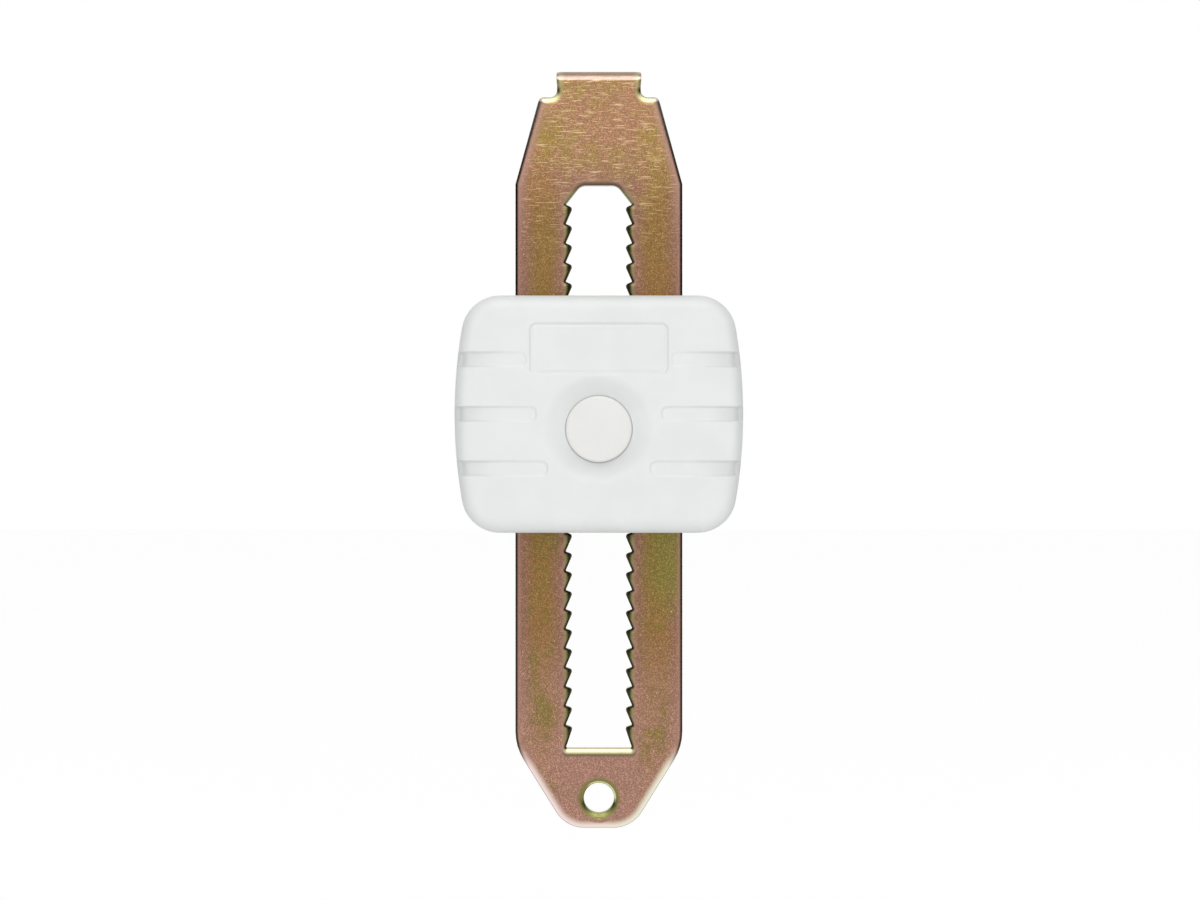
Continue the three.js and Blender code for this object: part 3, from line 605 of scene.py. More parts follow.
def edge_layers(x, z, cut, front, up):
    """The tints of the bar's edges with their shares, in the order they are laid. The two pinks and the wall olive are
    the plating's own; the other tints are painted highlights, painted shade and painted dark reflection. cut is the
    distance from the edge.
    """
    side = abs(x)
    from_hole = (x * x + (z - HOLE[1]) ** 2) ** 0.5 - HOLE[2]
    holed = from_hole.fall(1.45, 1.85)
    tail = z.fall(-125.0, -120.0)
    rack = z.rise(LAST_ROOT - 1.0, LAST_ROOT - 0.6) * z.fall(FIRST_ROOT - 0.2, FIRST_ROOT + 0.4) * side.fall(7.4, 8.2)
    crown = z.rise(FIRST_ROOT - 0.6, FIRST_ROOT + 0.4) * z.fall(SLOT_TOP + 1.3, SLOT_TOP + 2.1) * side.fall(8.0, 9.0)
    # neck: the fillets beside the tab, where a painted lime highlight goes.
    neck = z.rise(SHOULDER - 1.7, SHOULDER - 0.5) * z.fall(0.0, 0.6) * side.fall(8.6, 9.4)
    flank = cut.fall(0.6, 2.5) * z.rise(-32.0, -16.0) * side.rise(8.6, 9.6)
    # Painted highlight on the tail's downward-facing rolled edges.
    tail_highlight = blend(x.rise(-8.0, 8.0), TAIL_HIGHLIGHT_PINK, TAIL_HIGHLIGHT_CREAM)
    # Painted shade on the slot's downward-facing top edge.
    arch_shade = blend(z.rise(SLOT_TOP - 1.7, SLOT_TOP - 0.3), ARCH_SHADE_GREEN, ARCH_SHADE_BROWN)
    # Painted highlight on the upward-facing rolled edges, lime, and cream on the upper outer edges.
    upper_highlight = blend(z.rise(-60.0, -40.0) * side.rise(7.5, 10.5), HIGHLIGHT_LIME, HIGHLIGHT_CREAM)
    # A painted highlight at the upper right of the hanging hole.
    glint = (x * 0.6 + z - HOLE[1]).rise(0.3, 2.2) * holed * cut.fall(0.15, 0.5)
    # Painted shade in a thin line just below the slot's bottom.
    foot = cut.rise(0.75, 1.1) * cut.fall(1.2, 1.7) * z.rise(-123.5, -122.8) * z.fall(-121.6, -121.2)
    # Where the painted dark edge lies: along the front cuts, lighter at the arch and the neck, and thin along the tail.
    edge = cut.fall(0.2, 0.62) * 0.96 * (1 - holed) * (1 - crown * 0.65) * (1 - neck * 0.5)
    edge = edge * (1 - tail) + cut.fall(0.02, 0.2) * tail * (1 - holed) * 0.6
    # Painted dark reflection and shade on the front edges and the teeth, left off upward-facing edges except on the
    # teeth.
    painted_dark_edges = edge.least(side.fall(5.45, 6.1) * rack * 0.93) * front * (1 - up * (1 - rack))
    return [
        (cut.fall(0.3, 1.4) * 0.6, EDGE_PINK),
        (flank * 0.6, FLANK_PINK),
        (cut.fall(0.3, 1.7) * tail * (1 - holed) * 0.9, tail_highlight),
        (cut.fall(0.1, 0.75) * (1 - front) * 0.7, WALL_OLIVE),
        (cut.fall(0.25, 1.0) * crown * 0.8, arch_shade),
        (cut.fall(0.4, 1.5) * neck * 0.6, NECK_HIGHLIGHT_LIME),
        (cut.fall(0.6, 1.7) * up * (1 - rack) * (1 - holed * 0.5) * 0.9, upper_highlight),
        # A painted dark ring of shade and reflection round the hanging hole.
        (from_hole.fall(0.55, 1.45) * 0.85, HOLE_RING_SHADE),
        (glint * 0.9, HOLE_GLINT),
        # Painted shade at the tooth roots, olive before the dark teeth.
        (side.fall(5.9, 6.7) * rack * front * 0.8, ROOT_SHADE_OLIVE),
        (foot * side.fall(6.0, 7.5) * 0.7, FOOT_SHADE),
        (painted_dark_edges, PAINTED_DARK_EDGE),
    ]


print("edges coloured from the hole at", HOLE[1], "to the neck at", SHOULDER)

# %% Mix the plating


def plated_steel():
    made, place = started("yellow_passivated_steel")
    tree = made.node_tree
    x = Wire.node(tree, "ShaderNodeSeparateXYZ", None, {0: place})
    z = x.other(2) / MM
    x = x / MM
    cut, back = attribute(tree, "inset"), attribute(tree, "back")
    # up marks upward-facing surfaces: the painted highlights of the upper edges follow it, and the painted dark edges
    # are left off there.
    facing = Wire.node(tree, "ShaderNodeNewGeometry", out="Normal")
    up = Wire.node(tree, "ShaderNodeSeparateXYZ", None, {0: facing}, out=2).rise(0.05, 0.35)
    grain = speckle(place, 5.0, 2.0, 0.7)
    colour, streak = sheet_colour(place, x, z, grain)
    crease = z.rise(0.05, 0.3) * z.fall(0.95, 1.4)
    hook = [(z.rise(0.9, 1.4) * 0.7, HOOK_BROWN), (crease * 0.8, CREASE_PINK)]
    colour = layered(colour, edge_layers(x, z, cut, back.fall(0.0, 0.12), up) + hook)
    rough = 0.4 + (grain - 0.5) * 0.3 - streak * 0.08 - cut.fall(0.1, 0.75) * 0.15 - crease * 0.1
    sockets = {"Base Color": colour, "Metallic": 1.0, "Roughness": rough, "Normal": bumped(grain, 0.5, 0.05)}
    return principled(made, sockets)


PLATED = plated_steel()
print("plating nodes:", len(PLATED.node_tree.nodes))

# %% [markdown]
# The press is a node tree with its sizes as named inputs. A point's distance from the cut decides how far the
# roll drops it, its side of the sheet decides whether it is on the face or the burr side, and its height along
# the tab decides how far round the fold it has gone.

# %% Build a node tree with named inputs


def growing_tree(name, inputs):
    """An empty Geometry Nodes tree with named inputs: (tree, its inputs as wires)."""
    made = bpy.data.node_groups.new(name, "GeometryNodeTree")
    made.interface.new_socket("Geometry", in_out="OUTPUT", socket_type="NodeSocketGeometry")
    made.interface.new_socket("Geometry", in_out="INPUT", socket_type="NodeSocketGeometry")
    for label, kind in inputs.items():
        made.interface.new_socket(label, in_out="INPUT", socket_type="NodeSocket" + kind)
    given = made.nodes.new("NodeGroupInput")
    return made, {socket.name: Wire(made, socket) for socket in given.outputs if socket.name}


def closed_tree(tree, geometry, material):
    """Ends a tree in Realize Instances and Set Material."""
    whole = Wire.node(tree, "GeometryNodeRealizeInstances", None, {0: geometry})
    painted = Wire.node(tree, "GeometryNodeSetMaterial", None, {"Geometry": whole, "Material": material})
    Wire.node(tree, "NodeGroupOutput", None, {0: painted})


def grown(obj, tree, values):
    """Runs a tree on an object and keeps the result as its plain mesh."""
    modifier = obj.modifiers.new(tree.name, "NODES")
    modifier.node_group = tree
    for item in tree.interface.items_tree:
        if item.in_out == "INPUT" and item.name in values:
            modifier[item.identifier] = values[item.name]
    result = bpy.data.meshes.new_from_object(obj.evaluated_get(bpy.context.evaluated_depsgraph_get()))
    obj.modifiers.remove(modifier)
    obj.data = result
    result.name = obj.name
    return obj


print("tree helpers ready")

# %% Build the press
press_lengths = {
    "Middle": (BAR_FRONT + BAR_BACK) / 2, "Thickness": BAR_THICKNESS, "Burr": 0.06,
    "Roll Width": ROLL_WIDTH, "Roll Depth": 0.36, "Tooth Lean": 0.8, "Lean Start": 6.2, "Lean Width": 1.45,
    "Lean Top": FIRST_ROOT, "Lean Foot": LAST_ROOT, "Bend Start": BEND_START, "Bend Radius": BEND_RADIUS,
}
PRESS_SIZES = {name: length * MM for name, length in press_lengths.items()}
PRESS_SIZES |= {"End Widening": 0.6, "End Deepening": 0.7, "Bend Kink": math.radians(16), "Bend Bulge": 0.015}


def press_tree():
    tree, size = growing_tree("bar_press", {**dict.fromkeys(PRESS_SIZES, "Float"), "Material": "Material"})
    place = Wire.node(tree, "GeometryNodeInputPosition")
    x = Wire.node(tree, "ShaderNodeSeparateXYZ", None, {0: place})
    z = x.other(2)
    inset = Wire.node(tree, "GeometryNodeInputNamedAttribute", {"data_type": "FLOAT"}, {"Name": "inset"}) * MM
    back = Wire.node(tree, "GeometryNodeInputNamedAttribute", {"data_type": "FLOAT"}, {"Name": "back"})
    end = z.rise(-12.0 * MM, -4.0 * MM) * z.fall(-1.5 * MM, 0.0) + z.fall(-122.5 * MM, -119.5 * MM)
    easing = z.rise(-1.5 * MM, 0.5 * MM, 1.0, 0.35)
    wider = size["Roll Width"] * (1 + end * size["End Widening"])
    over = (1 - inset / wider).least(0.0)
    roll = size["Roll Depth"] * (1 + end * size["End Deepening"]) * easing * over**4
    burr = size["Burr"] * over * over
    lean = ((size["Lean Start"] - abs(x)) / size["Lean Width"]).least(0.0).most(1.0)
    toothed = z.math("LESS_THAN", z, size["Lean Top"]) * z.math("GREATER_THAN", z, size["Lean Foot"])
    lean = size["Tooth Lean"] * lean * lean * toothed
    half = size["Thickness"] / 2
    depth = half * (2 * back - 1) + (1 - back) * (roll + lean) - back * burr
    run = z - size["Bend Start"]
    middle_run = size["Bend Radius"] + half
    turn = (run / middle_run).least(0.0).most(math.pi / 2)
    beyond = (run - middle_run * (math.pi / 2)).least(0.0)
    arm = middle_run - depth
    kink = turn.most(size["Bend Kink"])
    flat = (middle_run + half) * (1 - kink.math("COSINE", kink))
    new_y = size["Middle"] + middle_run - arm * turn.math("COSINE", turn) + beyond - flat
    new_z = z.most(size["Bend Start"]) + arm * turn.math("SINE", turn)
    new_x = x * (1 + size["Bend Bulge"] * turn.math("SINE", turn * 2))
    target = Wire.node(tree, "ShaderNodeCombineXYZ", None, {0: new_x, 1: new_y, 2: new_z})
    formed = Wire.node(tree, "GeometryNodeSetPosition", None, {"Geometry": size["Geometry"], "Position": target})
    closed_tree(tree, formed, size["Material"])
    return tree


PRESS = press_tree()
print("press nodes:", len(PRESS.nodes))

# %% Press the bar
grown(bar, PRESS, {**PRESS_SIZES, "Material": PLATED})
finish_mesh(bar, PLATED, 38)
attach(bar, "bar")
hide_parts("locking_bar")
print("bar spans in mm:", [round(v / MM, 2) for v in bar.dimensions])

# %% [markdown]
# ## Finish: moulded white plastic
# The case is white moulded plastic with the fine satin texture of a spark-eroded mould. A plain white would
# look like paper, so a faint mottle shifts the colour and roughness, and a fine bump breaks up the sheen. The
# button is the same plastic, a little warmer and smoother.

# %% Mix the white plastics


def white_plastic(name, colour, shade, rough, texture):
    made, place = started(name)
    hollow = attribute(made.node_tree, "hollow")
    mottle = speckle(place, 0.16, 3.0)
    satin = speckle(place, 5.0, 2.0, 0.6)
    # The attribute read here greys the plastic with painted shade in the thumb dish, at the grooves' outer ends and
    # along the side edges.
    paint = tinted(blend(mottle.rise(0.3, 0.7), shade, colour), 1 - hollow)
    sockets = {
        "Base Color": paint,
        "Roughness": rough + (mottle - 0.5) * 0.06 + (satin - 0.5) * 0.08,
        "IOR": 1.5,
        "Normal": bumped(satin, texture, 0.02),
    }
    return principled(made, sockets)


CASE_WHITE = white_plastic("case_white_plastic", (0.80, 0.82, 0.81), (0.775, 0.795, 0.785), 0.5, 0.25)
BUTTON_WHITE = white_plastic("button_white_plastic", (0.81, 0.81, 0.79), (0.79, 0.79, 0.77), 0.42, 0.12)
print("white plastics mixed")

# %% [markdown]
# ## The front shell
# The front of the case is a soft rounded box with a shallow thumb dish round the button, a sunk panel above it,
# and three grip grooves on each side that run out over the rounded edges. Sculpting or a Boolean with bevels
# would leave ragged shading where the grooves meet the edge. Here the front is one flat net of triangles, dense
# where a form turns, and every point's height is worked out from its distance to the edge, the grooves, the
# panel and the dish. The walls, the rim and the hollow inside are added to the same net, so it is one closed shell.

# %% Set out the case's plan
BUTTON_HEIGHT = -63.25
CASE_MIDDLE = -60.6
CASE_HALF = 25.65
CASE_HALF_HEIGHT = 21.1
SIDE_RADIUS = 90.29
CORNER_CENTRE = (17.53, 14.2)
CORNER_RADIUS = 6.9
CORNER_TURN = math.radians(9.8)


def case_inset(points):
    """How far points are inside the case's outline, and the outward way there. Points are from the case's middle."""
    side = np.abs(points)
    arm = side - (CASE_HALF - SIDE_RADIUS, 0)
    by_side = np.linalg.norm(arm, axis=1)
    corner = side - CORNER_CENTRE
    by_corner = np.linalg.norm(corner, axis=1)
    inset = np.minimum(SIDE_RADIUS - by_side, CASE_HALF_HEIGHT - side[:, 1])
    sideways = (SIDE_RADIUS - by_side < CASE_HALF_HEIGHT - side[:, 1])[:, None]
    outward = np.where(sideways, arm / by_side[:, None], (0.0, 1.0))
    angle = np.arctan2(corner[:, 1], corner[:, 0])
    rounding = (by_corner > 1e-6) & (angle > CORNER_TURN) & (angle < math.pi / 2)
    inset = np.where(rounding, CORNER_RADIUS - by_corner, inset)
    outward = np.where(rounding[:, None], corner / np.maximum(by_corner, 1e-6)[:, None], outward)
    return inset, outward * np.where(points < 0, -1, 1)


def case_ring(inset=0.0, side_steps=36):
    """The case's outline, moved in by inset, from its middle."""
    reach = math.asin((CORNER_CENTRE[1] + CORNER_RADIUS * math.sin(CORNER_TURN)) / SIDE_RADIUS)
    right = [(CASE_HALF - SIDE_RADIUS + (SIDE_RADIUS - inset) * math.cos(a), (SIDE_RADIUS - inset) * math.sin(a))
             for a in np.linspace(-reach, reach, 2 * side_steps + 1)]
    radius = CORNER_RADIUS - inset
    round_corner = [(CORNER_CENTRE[0] + radius * math.cos(a), CORNER_CENTRE[1] + radius * math.sin(a))
                    for a in np.linspace(CORNER_TURN, math.pi / 2, 13)[1:]]
    top = [(x, CASE_HALF_HEIGHT - inset) for x in (15.46, 15.44, 12.0, 9.0, 6.0, 3.0, 0.0)]
    upper = round_corner + top
    left_top = [(-x, z) for x, z in reversed(upper[:-1])]
    left = [(-x, z) for x, z in reversed(right)]
    bottom_left = [(-x, -z) for x, z in upper]
    bottom_right = [(x, -z) for x, z in reversed(upper[:-1])]
    return np.array(right + upper + left_top + left + bottom_left + bottom_right)


outline = case_ring()
print("case outline points:", len(outline), "span:", np.round(outline.max(0) - outline.min(0), 2))

# %% Set out the grooves
GROOVE_ROWS = [(9.65, 12.65), (0.0, 10.85), (-9.65, 8.85)]
GROOVE_HALF = 1.5
GROOVE_DEPTH = 0.65
END_POWER = 2.6
TOP_ROW_FOOT = 5.0
INNER_SHARE = 0.5
TOP_INNER_SHARE = 0.28
FADE_START = 14.0
FADE_RUN = 8.0


def soft_step(share):
    share = np.clip(share, 0, 1)
    return share * share * (3 - 2 * share)


def groove_distance(points):
    """Distance from the nearest groove's middle line, the lines running from their inner ends out past the side."""
    best = np.full(len(points), 1e9)
    for row, inner in GROOVE_ROWS:
        along = np.maximum(inner + GROOVE_HALF - np.abs(points[:, 0]), 0)
        across = np.abs(points[:, 1] - row)
        best = np.minimum(best, (across**END_POWER + along**END_POWER) ** (1 / END_POWER))
    return best


def groove_fade(points):
    """The share of its depth that a groove has, as the grooves run out towards their inner ends, the top pair most."""
    inner = np.where(points[:, 1] > TOP_ROW_FOOT, TOP_INNER_SHARE, INNER_SHARE)
    return inner + (1 - inner) * soft_step((np.abs(points[:, 0]) - FADE_START) / FADE_RUN)


inner_ends = np.array([(inner, row) for row, inner in GROOVE_ROWS])
print("share of their depth at the grooves' inner ends:", groove_fade(inner_ends))

# %% Set out the panel and the dish
PANEL_HALF = (12.2, 4.5)
PANEL_MIDDLE = CASE_HALF_HEIGHT - 5.05 - PANEL_HALF[1]
PANEL_RADIUS = 1.2
PANEL_DEPTH = 0.3
BUTTON_DROP = BUTTON_HEIGHT - CASE_MIDDLE
DISH_RADIUS = 9.2
DISH_DEPTH = 1.9
DISH_SIDE_SHARE = 0.55
BUTTON_HOLE = 5.95


def panel_distance(points):
    """Distance outside the panel's rounded edge, negative inside."""
    gap = np.abs(points - (0, PANEL_MIDDLE)) - np.array(PANEL_HALF) + PANEL_RADIUS
    outside = np.linalg.norm(np.maximum(gap, 0), axis=1)
    return outside + np.minimum(gap.max(1), 0) - PANEL_RADIUS


def from_button(points):
    return np.linalg.norm(points - (0, BUTTON_DROP), axis=1)


def round_off(share):
    """The drop of a quarter round, from 0 at its start to 1 at its end."""
    share = np.clip(share, 0, 1)
    return 1 - np.sqrt(1 - share * share)


def dish_drop(points):
    """Depth of the thumb dish, a shallow ball's print with a softened rim."""
    away = from_button(points)
    upright = np.where(away > 0, (points[:, 1] - BUTTON_DROP) / np.maximum(away, 1e-6), 1) ** 2
    share = np.clip(away / (DISH_RADIUS + 0.5), 0, 1)
    rim = soft_step((1 - share) / 0.16) * 0.5 + 0.5
    return DISH_DEPTH * (DISH_SIDE_SHARE + (1 - DISH_SIDE_SHARE) * upright) * (1 - share * share) * rim


print("dish depth at the button:", np.round(dish_drop(np.array([[0.0, BUTTON_DROP + BUTTON_HOLE]])), 2))

# %% Raise the front
CASE_FRONT = 10.65
HOLE_LIP = 0.06
FRONT_EDGE = 2.6
BEVEL = 0.5
MOAT_DEPTH = 0.16
MOAT_HALF = 0.4


def front_points(plan):
    """The front's points in (x, distance in front of the bar, z) from the case's middle."""
    inset, outward = case_inset(plan)
    tilt = np.clip((FRONT_EDGE - inset) / FRONT_EDGE, 0, 1)
    lean = np.sqrt(1 - tilt * tilt)
    lift = CASE_FRONT - FRONT_EDGE * (1 - lean)
    groove = GROOVE_DEPTH * groove_fade(plan) * soft_step((GROOVE_HALF - groove_distance(plan)) / BEVEL)
    groove *= 1 - soft_step((tilt - 0.8) / 0.2)
    from_panel = panel_distance(plan)
    lift -= PANEL_DEPTH * soft_step(0.5 - from_panel / BEVEL)
    lift -= MOAT_DEPTH * soft_step(1 - np.abs(from_panel + 0.3) / MOAT_HALF)
    lift -= dish_drop(plan)
    lift -= HOLE_LIP * round_off((BUTTON_HOLE + HOLE_LIP - from_button(plan)) / HOLE_LIP)
    return lifted(plan, lift) - groove[:, None] * lifted(tilt[:, None] * outward, lean)


in_panel = front_points(np.array([[0.0, PANEL_MIDDLE]]))[0, 1]
print("the panel lies", round(CASE_FRONT - in_panel, 2), "mm below the front")

# %% Shade the hollows
DISH_SHADE = 0.14
GROOVE_SHADE = 0.11
SIDE_SHADE = 0.07


def hollow_shade(plan):
    """How much greyer the plastic is painted: painted shade in the thumb dish, strongest below the button, at the outer
    ends of the grooves and along the left and right edges.
    """
    inset, outward = case_inset(plan)
    side = SIDE_SHADE * soft_step((2.0 - inset) / 2.0) * outward[:, 0] ** 4
    sunk = dish_drop(plan) / 1.2
    groove = soft_step((GROOVE_HALF - groove_distance(plan)) / BEVEL) * soft_step((7.0 - inset) / 6.0)
    away = np.maximum(from_button(plan), 1e-6)
    below = 1.05 - 0.4 * (plan[:, 1] - BUTTON_DROP) / away
    return np.clip(DISH_SHADE * sunk * below + GROOVE_SHADE * groove + side, 0, 0.3)


below_button = np.array([[0.0, BUTTON_DROP - BUTTON_HOLE]])
print("shade below the button:", np.round(hollow_shade(below_button), 2))

# %% Lay the front's net


def capsule(row, inner, half):
    """A groove's outline at half a width, open at the side edge: a line out, round the blunt inner end, and back."""
    outer = [CASE_HALF + 1 - 0.5 * k for k in range(int((CASE_HALF + 1 - inner - GROOVE_HALF) / 0.5))]
    end = [(a, (1 - a**END_POWER) ** (1 / END_POWER)) for a in (0.3, 0.6, 0.766, 0.88, 0.983, 1.0)]
    end += [(a, -b) for a, b in reversed(end[:-1])]
    line = [(x, row + half) for x in outer] + [(inner + GROOVE_HALF - a * half, row + b * half) for a, b in end]
    return line + [(x, row - half) for x in reversed(outer)]


lines = []
for row, inner in GROOVE_ROWS:
    for half in (0.6, 0.95, 1.05, 1.15, 1.25, 1.35, 1.45, 1.5, 1.6):
        lines += [capsule(row, inner, half), [(-x, z) for x, z in capsule(row, inner, half)]]
loops = [case_ring(FRONT_EDGE * (1 - math.sin(a))) for a in np.linspace(math.pi / 2, 0, 15)]
loops += [case_ring(3.4), case_ring(5.5, 20)]
for reach in (-0.8, -0.7, -0.6, -0.5, -0.4, -0.3, -0.2, -0.1, 0.0, 0.1, 0.17, 0.25, 0.35, 0.7):
    px, pz = PANEL_HALF[0] + reach, PANEL_HALF[1] + reach
    corners = [(sx * px, sz * pz, PANEL_RADIUS + reach) for sx, sz in SQUARE]
    loops.append(outline_ring(corners, 0, 12) + (0, PANEL_MIDDLE))
for radius in (5.95, 5.955, 5.965, 5.98, 6.01, 6.4, 6.8, 7.4, 8.0, 8.5, 8.9, 9.2, 9.4, 9.6, 9.7, 9.9, 10.6):
    loops.append(circle(radius, 0, BUTTON_DROP, 96))
plan, front_faces = filled(loops, lines)
centres = plan[front_faces].mean(1)
front_faces = front_faces[within(centres, loops[0]) & (from_button(centres) > BUTTON_HOLE * 0.999)]
print("front points:", len(plan), "triangles:", len(front_faces))

# %% Add walls and caps


def walled(points, faces, loop, rows):
    """Adds rows of points under an edge loop, each row a list of points, and the faces between them."""
    before = list(loop)
    for row in rows:
        first = len(points)
        points.extend(tuple(p) for p in row)
        after = list(range(first, first + len(loop)))
        following = before[1:] + before[:1], after[1:] + after[:1]
        faces.extend(zip(following[0], before, after, following[1]))
        before = after
    return before


def capped(points, faces, *loops):
    """Closes a loop of existing points with a flat face, or a loop with holes in it with triangles."""
    order = [i for loop in loops for i in loop]
    flat = np.array([points[i] for i in order])[:, [0, 2]]
    edges, first = [], 0
    for loop in loops:
        edges += [(first + k, first + (k + 1) % len(loop)) for k in range(len(loop))]
        first += len(loop)
    kind = 2 if len(loops) == 1 else 0
    _, _, polygons, sources, _, _ = delaunay_2d_cdt([Vector(p) for p in flat], edges, [], kind, 1e-7)
    outer, *holes = np.split(flat, np.cumsum([len(loop) for loop in loops])[:-1])
    for polygon in polygons:
        spots = [sources[i][0] for i in polygon]
        middle = flat[spots].mean(0)[None]
        if within(middle, outer)[0] and not any(within(middle, hole)[0] for hole in holes):
            faces.append(tuple(order[i] for i in spots))


print("walls and caps ready")

# %% Close the shell
CEILING = 9.05
CASE_WALL = 1.6
CHANNEL_HALF = 15.45
CHANNEL_RIM = 0.3
SHELL_RIM = -2.1

points = [tuple(p) for p in front_points(plan)]
faces = [tuple(f) for f in front_faces]
hole, outer = sorted(edge_loops(front_faces), key=lambda loop: np.abs(plan[loop]).max())
_, outward = case_inset(plan[outer])
edge = plan[outer]
rim = np.where(np.abs(edge[:, 0]) < CHANNEL_HALF, CHANNEL_RIM, SHELL_RIM)
rim = np.where(np.abs(edge[:, 1]) > 20.9, rim, SHELL_RIM)


def wall_row(inset, lift):
    return lifted(edge - inset * outward, lift)


inner_loop = walled(points, faces, outer, [wall_row(0, rim + 0.2), wall_row(0.06, rim + 0.06), wall_row(0.2, rim),
                                           wall_row(CASE_WALL, rim), wall_row(CASE_WALL, CEILING)])
hole_loop = walled(points, faces, hole, [lifted(plan[hole], CEILING)])
capped(points, faces, inner_loop, hole_loop)
print("shell loops:", len(outer), len(hole), "points:", len(points))

# %% Place the front shell


def in_case(points):
    """Points from (x, distance in front of the bar, z from the case's middle) to the lock's own frame."""
    points = np.array(points)
    return np.stack([points[:, 0], BAR_FRONT - points[:, 1], CASE_MIDDLE + points[:, 2]], axis=1)


shell = linked_mesh("moulded_front", in_case(points), faces)
# The painted shade of the dish, the grooves' ends and the side edges goes on the front's points as an attribute.
shade = np.zeros(len(points))
shade[: len(plan)] = hollow_shade(plan)
shell.data.attributes.new("hollow", "FLOAT", "POINT").data.foreach_set("value", shade)
finish_mesh(shell, CASE_WHITE, 50)
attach(shell, "slider")
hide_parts("front_shell")
print("front shell spans in mm:", [round(v / MM, 2) for v in shell.dimensions])

# %% [markdown]
# ## The rear cover
# The back of the case is a shallow lid of the same outline, with a small rounded edge and four sunk holes for
# its screws. It is built the same way as the front, from a net of points and a rule for their height.

# %% Net the rear cover
COVER_BACK = -5.9
COVER_EDGE = 1.5
SCREW_PLACES = [(sx * 18.65, sz * 15.0) for sx in (-1, 1) for sz in (-1, 1)]
COUNTERBORE = 2.5
BORE_LIP = 0.25


def cover_points(plan):
    inset, _ = case_inset(plan)
    lift = COVER_BACK + COVER_EDGE * round_off((COVER_EDGE - inset) / COVER_EDGE)
    for x, z in SCREW_PLACES:
        away = np.hypot(plan[:, 0] - x, plan[:, 1] - z)
        lift += BORE_LIP * round_off((COUNTERBORE + BORE_LIP - away) / BORE_LIP)
    return lifted(plan, lift)


loops = [case_ring(COVER_EDGE * (1 - math.sin(a))) for a in np.linspace(math.pi / 2, 0, 11)] + [case_ring(2.1)]
loops += [circle(COUNTERBORE + reach, x, z, 48) for x, z in SCREW_PLACES for reach in (0, 0.02, 0.07, 0.15, 0.25, 0.5)]
plan, back_faces = filled(loops)
centres = plan[back_faces].mean(1)
kept = within(centres, loops[0])
for x, z in SCREW_PLACES:
    kept &= np.hypot(centres[:, 0] - x, centres[:, 1] - z) > COUNTERBORE * 0.998
back_faces = back_faces[kept]
print("cover points:", len(plan), "triangles:", len(back_faces))

# %% Close the rear cover
COVER_FRONT = -2.3
SCREW_SEAT = -3.9

points = [tuple(p) for p in cover_points(plan)]
faces = [tuple(f) for f in back_faces]
for loop in edge_loops(back_faces):
    edge = plan[loop]
    if np.abs(edge).max() > CASE_HALF_HEIGHT - 0.5:
        _, outward = case_inset(edge)
        rows = [wall_row(0, COVER_FRONT - 0.2), wall_row(0.06, COVER_FRONT - 0.06), wall_row(0.2, COVER_FRONT)]
    else:
        rows = [lifted(edge, SCREW_SEAT)]
    capped(points, faces, walled(points, faces, loop, rows))
cover = linked_mesh("moulded_back", in_case(points), faces)
finish_mesh(cover, CASE_WHITE, 50)
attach(cover, "slider")
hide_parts("rear_cover")

# %% [markdown]
# ## The push button
# The button is a turned cap with a softly rounded edge. A flange keeps it in the case, and two sloping wings
# squeeze the pawls together. A lathe of a drawn profile gives the cap a clean round edge.

# %% Turn the button
BUTTON_RADIUS = 5.9
BUTTON_EDGE = 0.6
BUTTON_CROWN = 0.06
FLANGE_RADIUS = 7.25
FLANGE_BACK = 6.5
FLANGE_FRONT = 7.5


def turned(profile, sides=96):
    """A closed turned shape from (radius, height) points, its first and last point on the axis."""
    points, faces = [], []
    for radius, height in profile[1:-1]:
        points += [(radius * math.cos(a), height, radius * math.sin(a)) for a in np.arange(sides) * 2 * math.pi / sides]
    rows = len(profile) - 2
    for row in range(rows - 1):
        for k in range(sides):
            a, b = row * sides + k, row * sides + (k + 1) % sides
            faces.append((a, b, b + sides, a + sides))
    points += [(0, profile[0][1], 0), (0, profile[-1][1], 0)]
    faces += [(len(points) - 2, (k + 1) % sides, k) for k in range(sides)]
    last = (rows - 1) * sides
    faces += [(len(points) - 1, last + k, last + (k + 1) % sides) for k in range(sides)]
    return points, faces


button_low, button_high = (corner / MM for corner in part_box("push_button"))
button_face = BAR_FRONT - button_low.y
edge_top = button_face - BUTTON_CROWN
edge_arc = [(BUTTON_RADIUS + BUTTON_EDGE * (math.cos(a) - 1), edge_top + BUTTON_EDGE * (math.sin(a) - 1))
            for a in np.linspace(0, math.pi / 2, 9)]
crown = [(r, button_face - BUTTON_CROWN * (r / BUTTON_RADIUS) ** 2) for r in (4.6, 3.6, 2.4, 1.2)]
profile = [(0, FLANGE_BACK), (FLANGE_RADIUS, FLANGE_BACK), (FLANGE_RADIUS, FLANGE_FRONT), (BUTTON_RADIUS, FLANGE_FRONT),
           *edge_arc, *crown, (0, button_face)]
points, faces = turned(profile)
print("button face", round(button_face, 2), "mm in front of the bar")

# %% Add its wings
WING_HALF = 4.0
WING_THICKNESS = 1.3
WING_BACK = BAR_FRONT - button_high.y
WING_REACH = button_high.x
wing_slope = WING_REACH - WING_THICKNESS + WING_BACK


def slab(corners, low, high):
    """A prism from (x, height) corners, between two places along the bar."""
    count = len(corners)
    points = [(x, h, z) for z in (low, high) for x, h in corners]
    faces = [tuple(range(count)), tuple(range(2 * count - 1, count - 1, -1))]
    return points, faces + [(k, (k + 1) % count, count + (k + 1) % count, count + k) for k in range(count)]


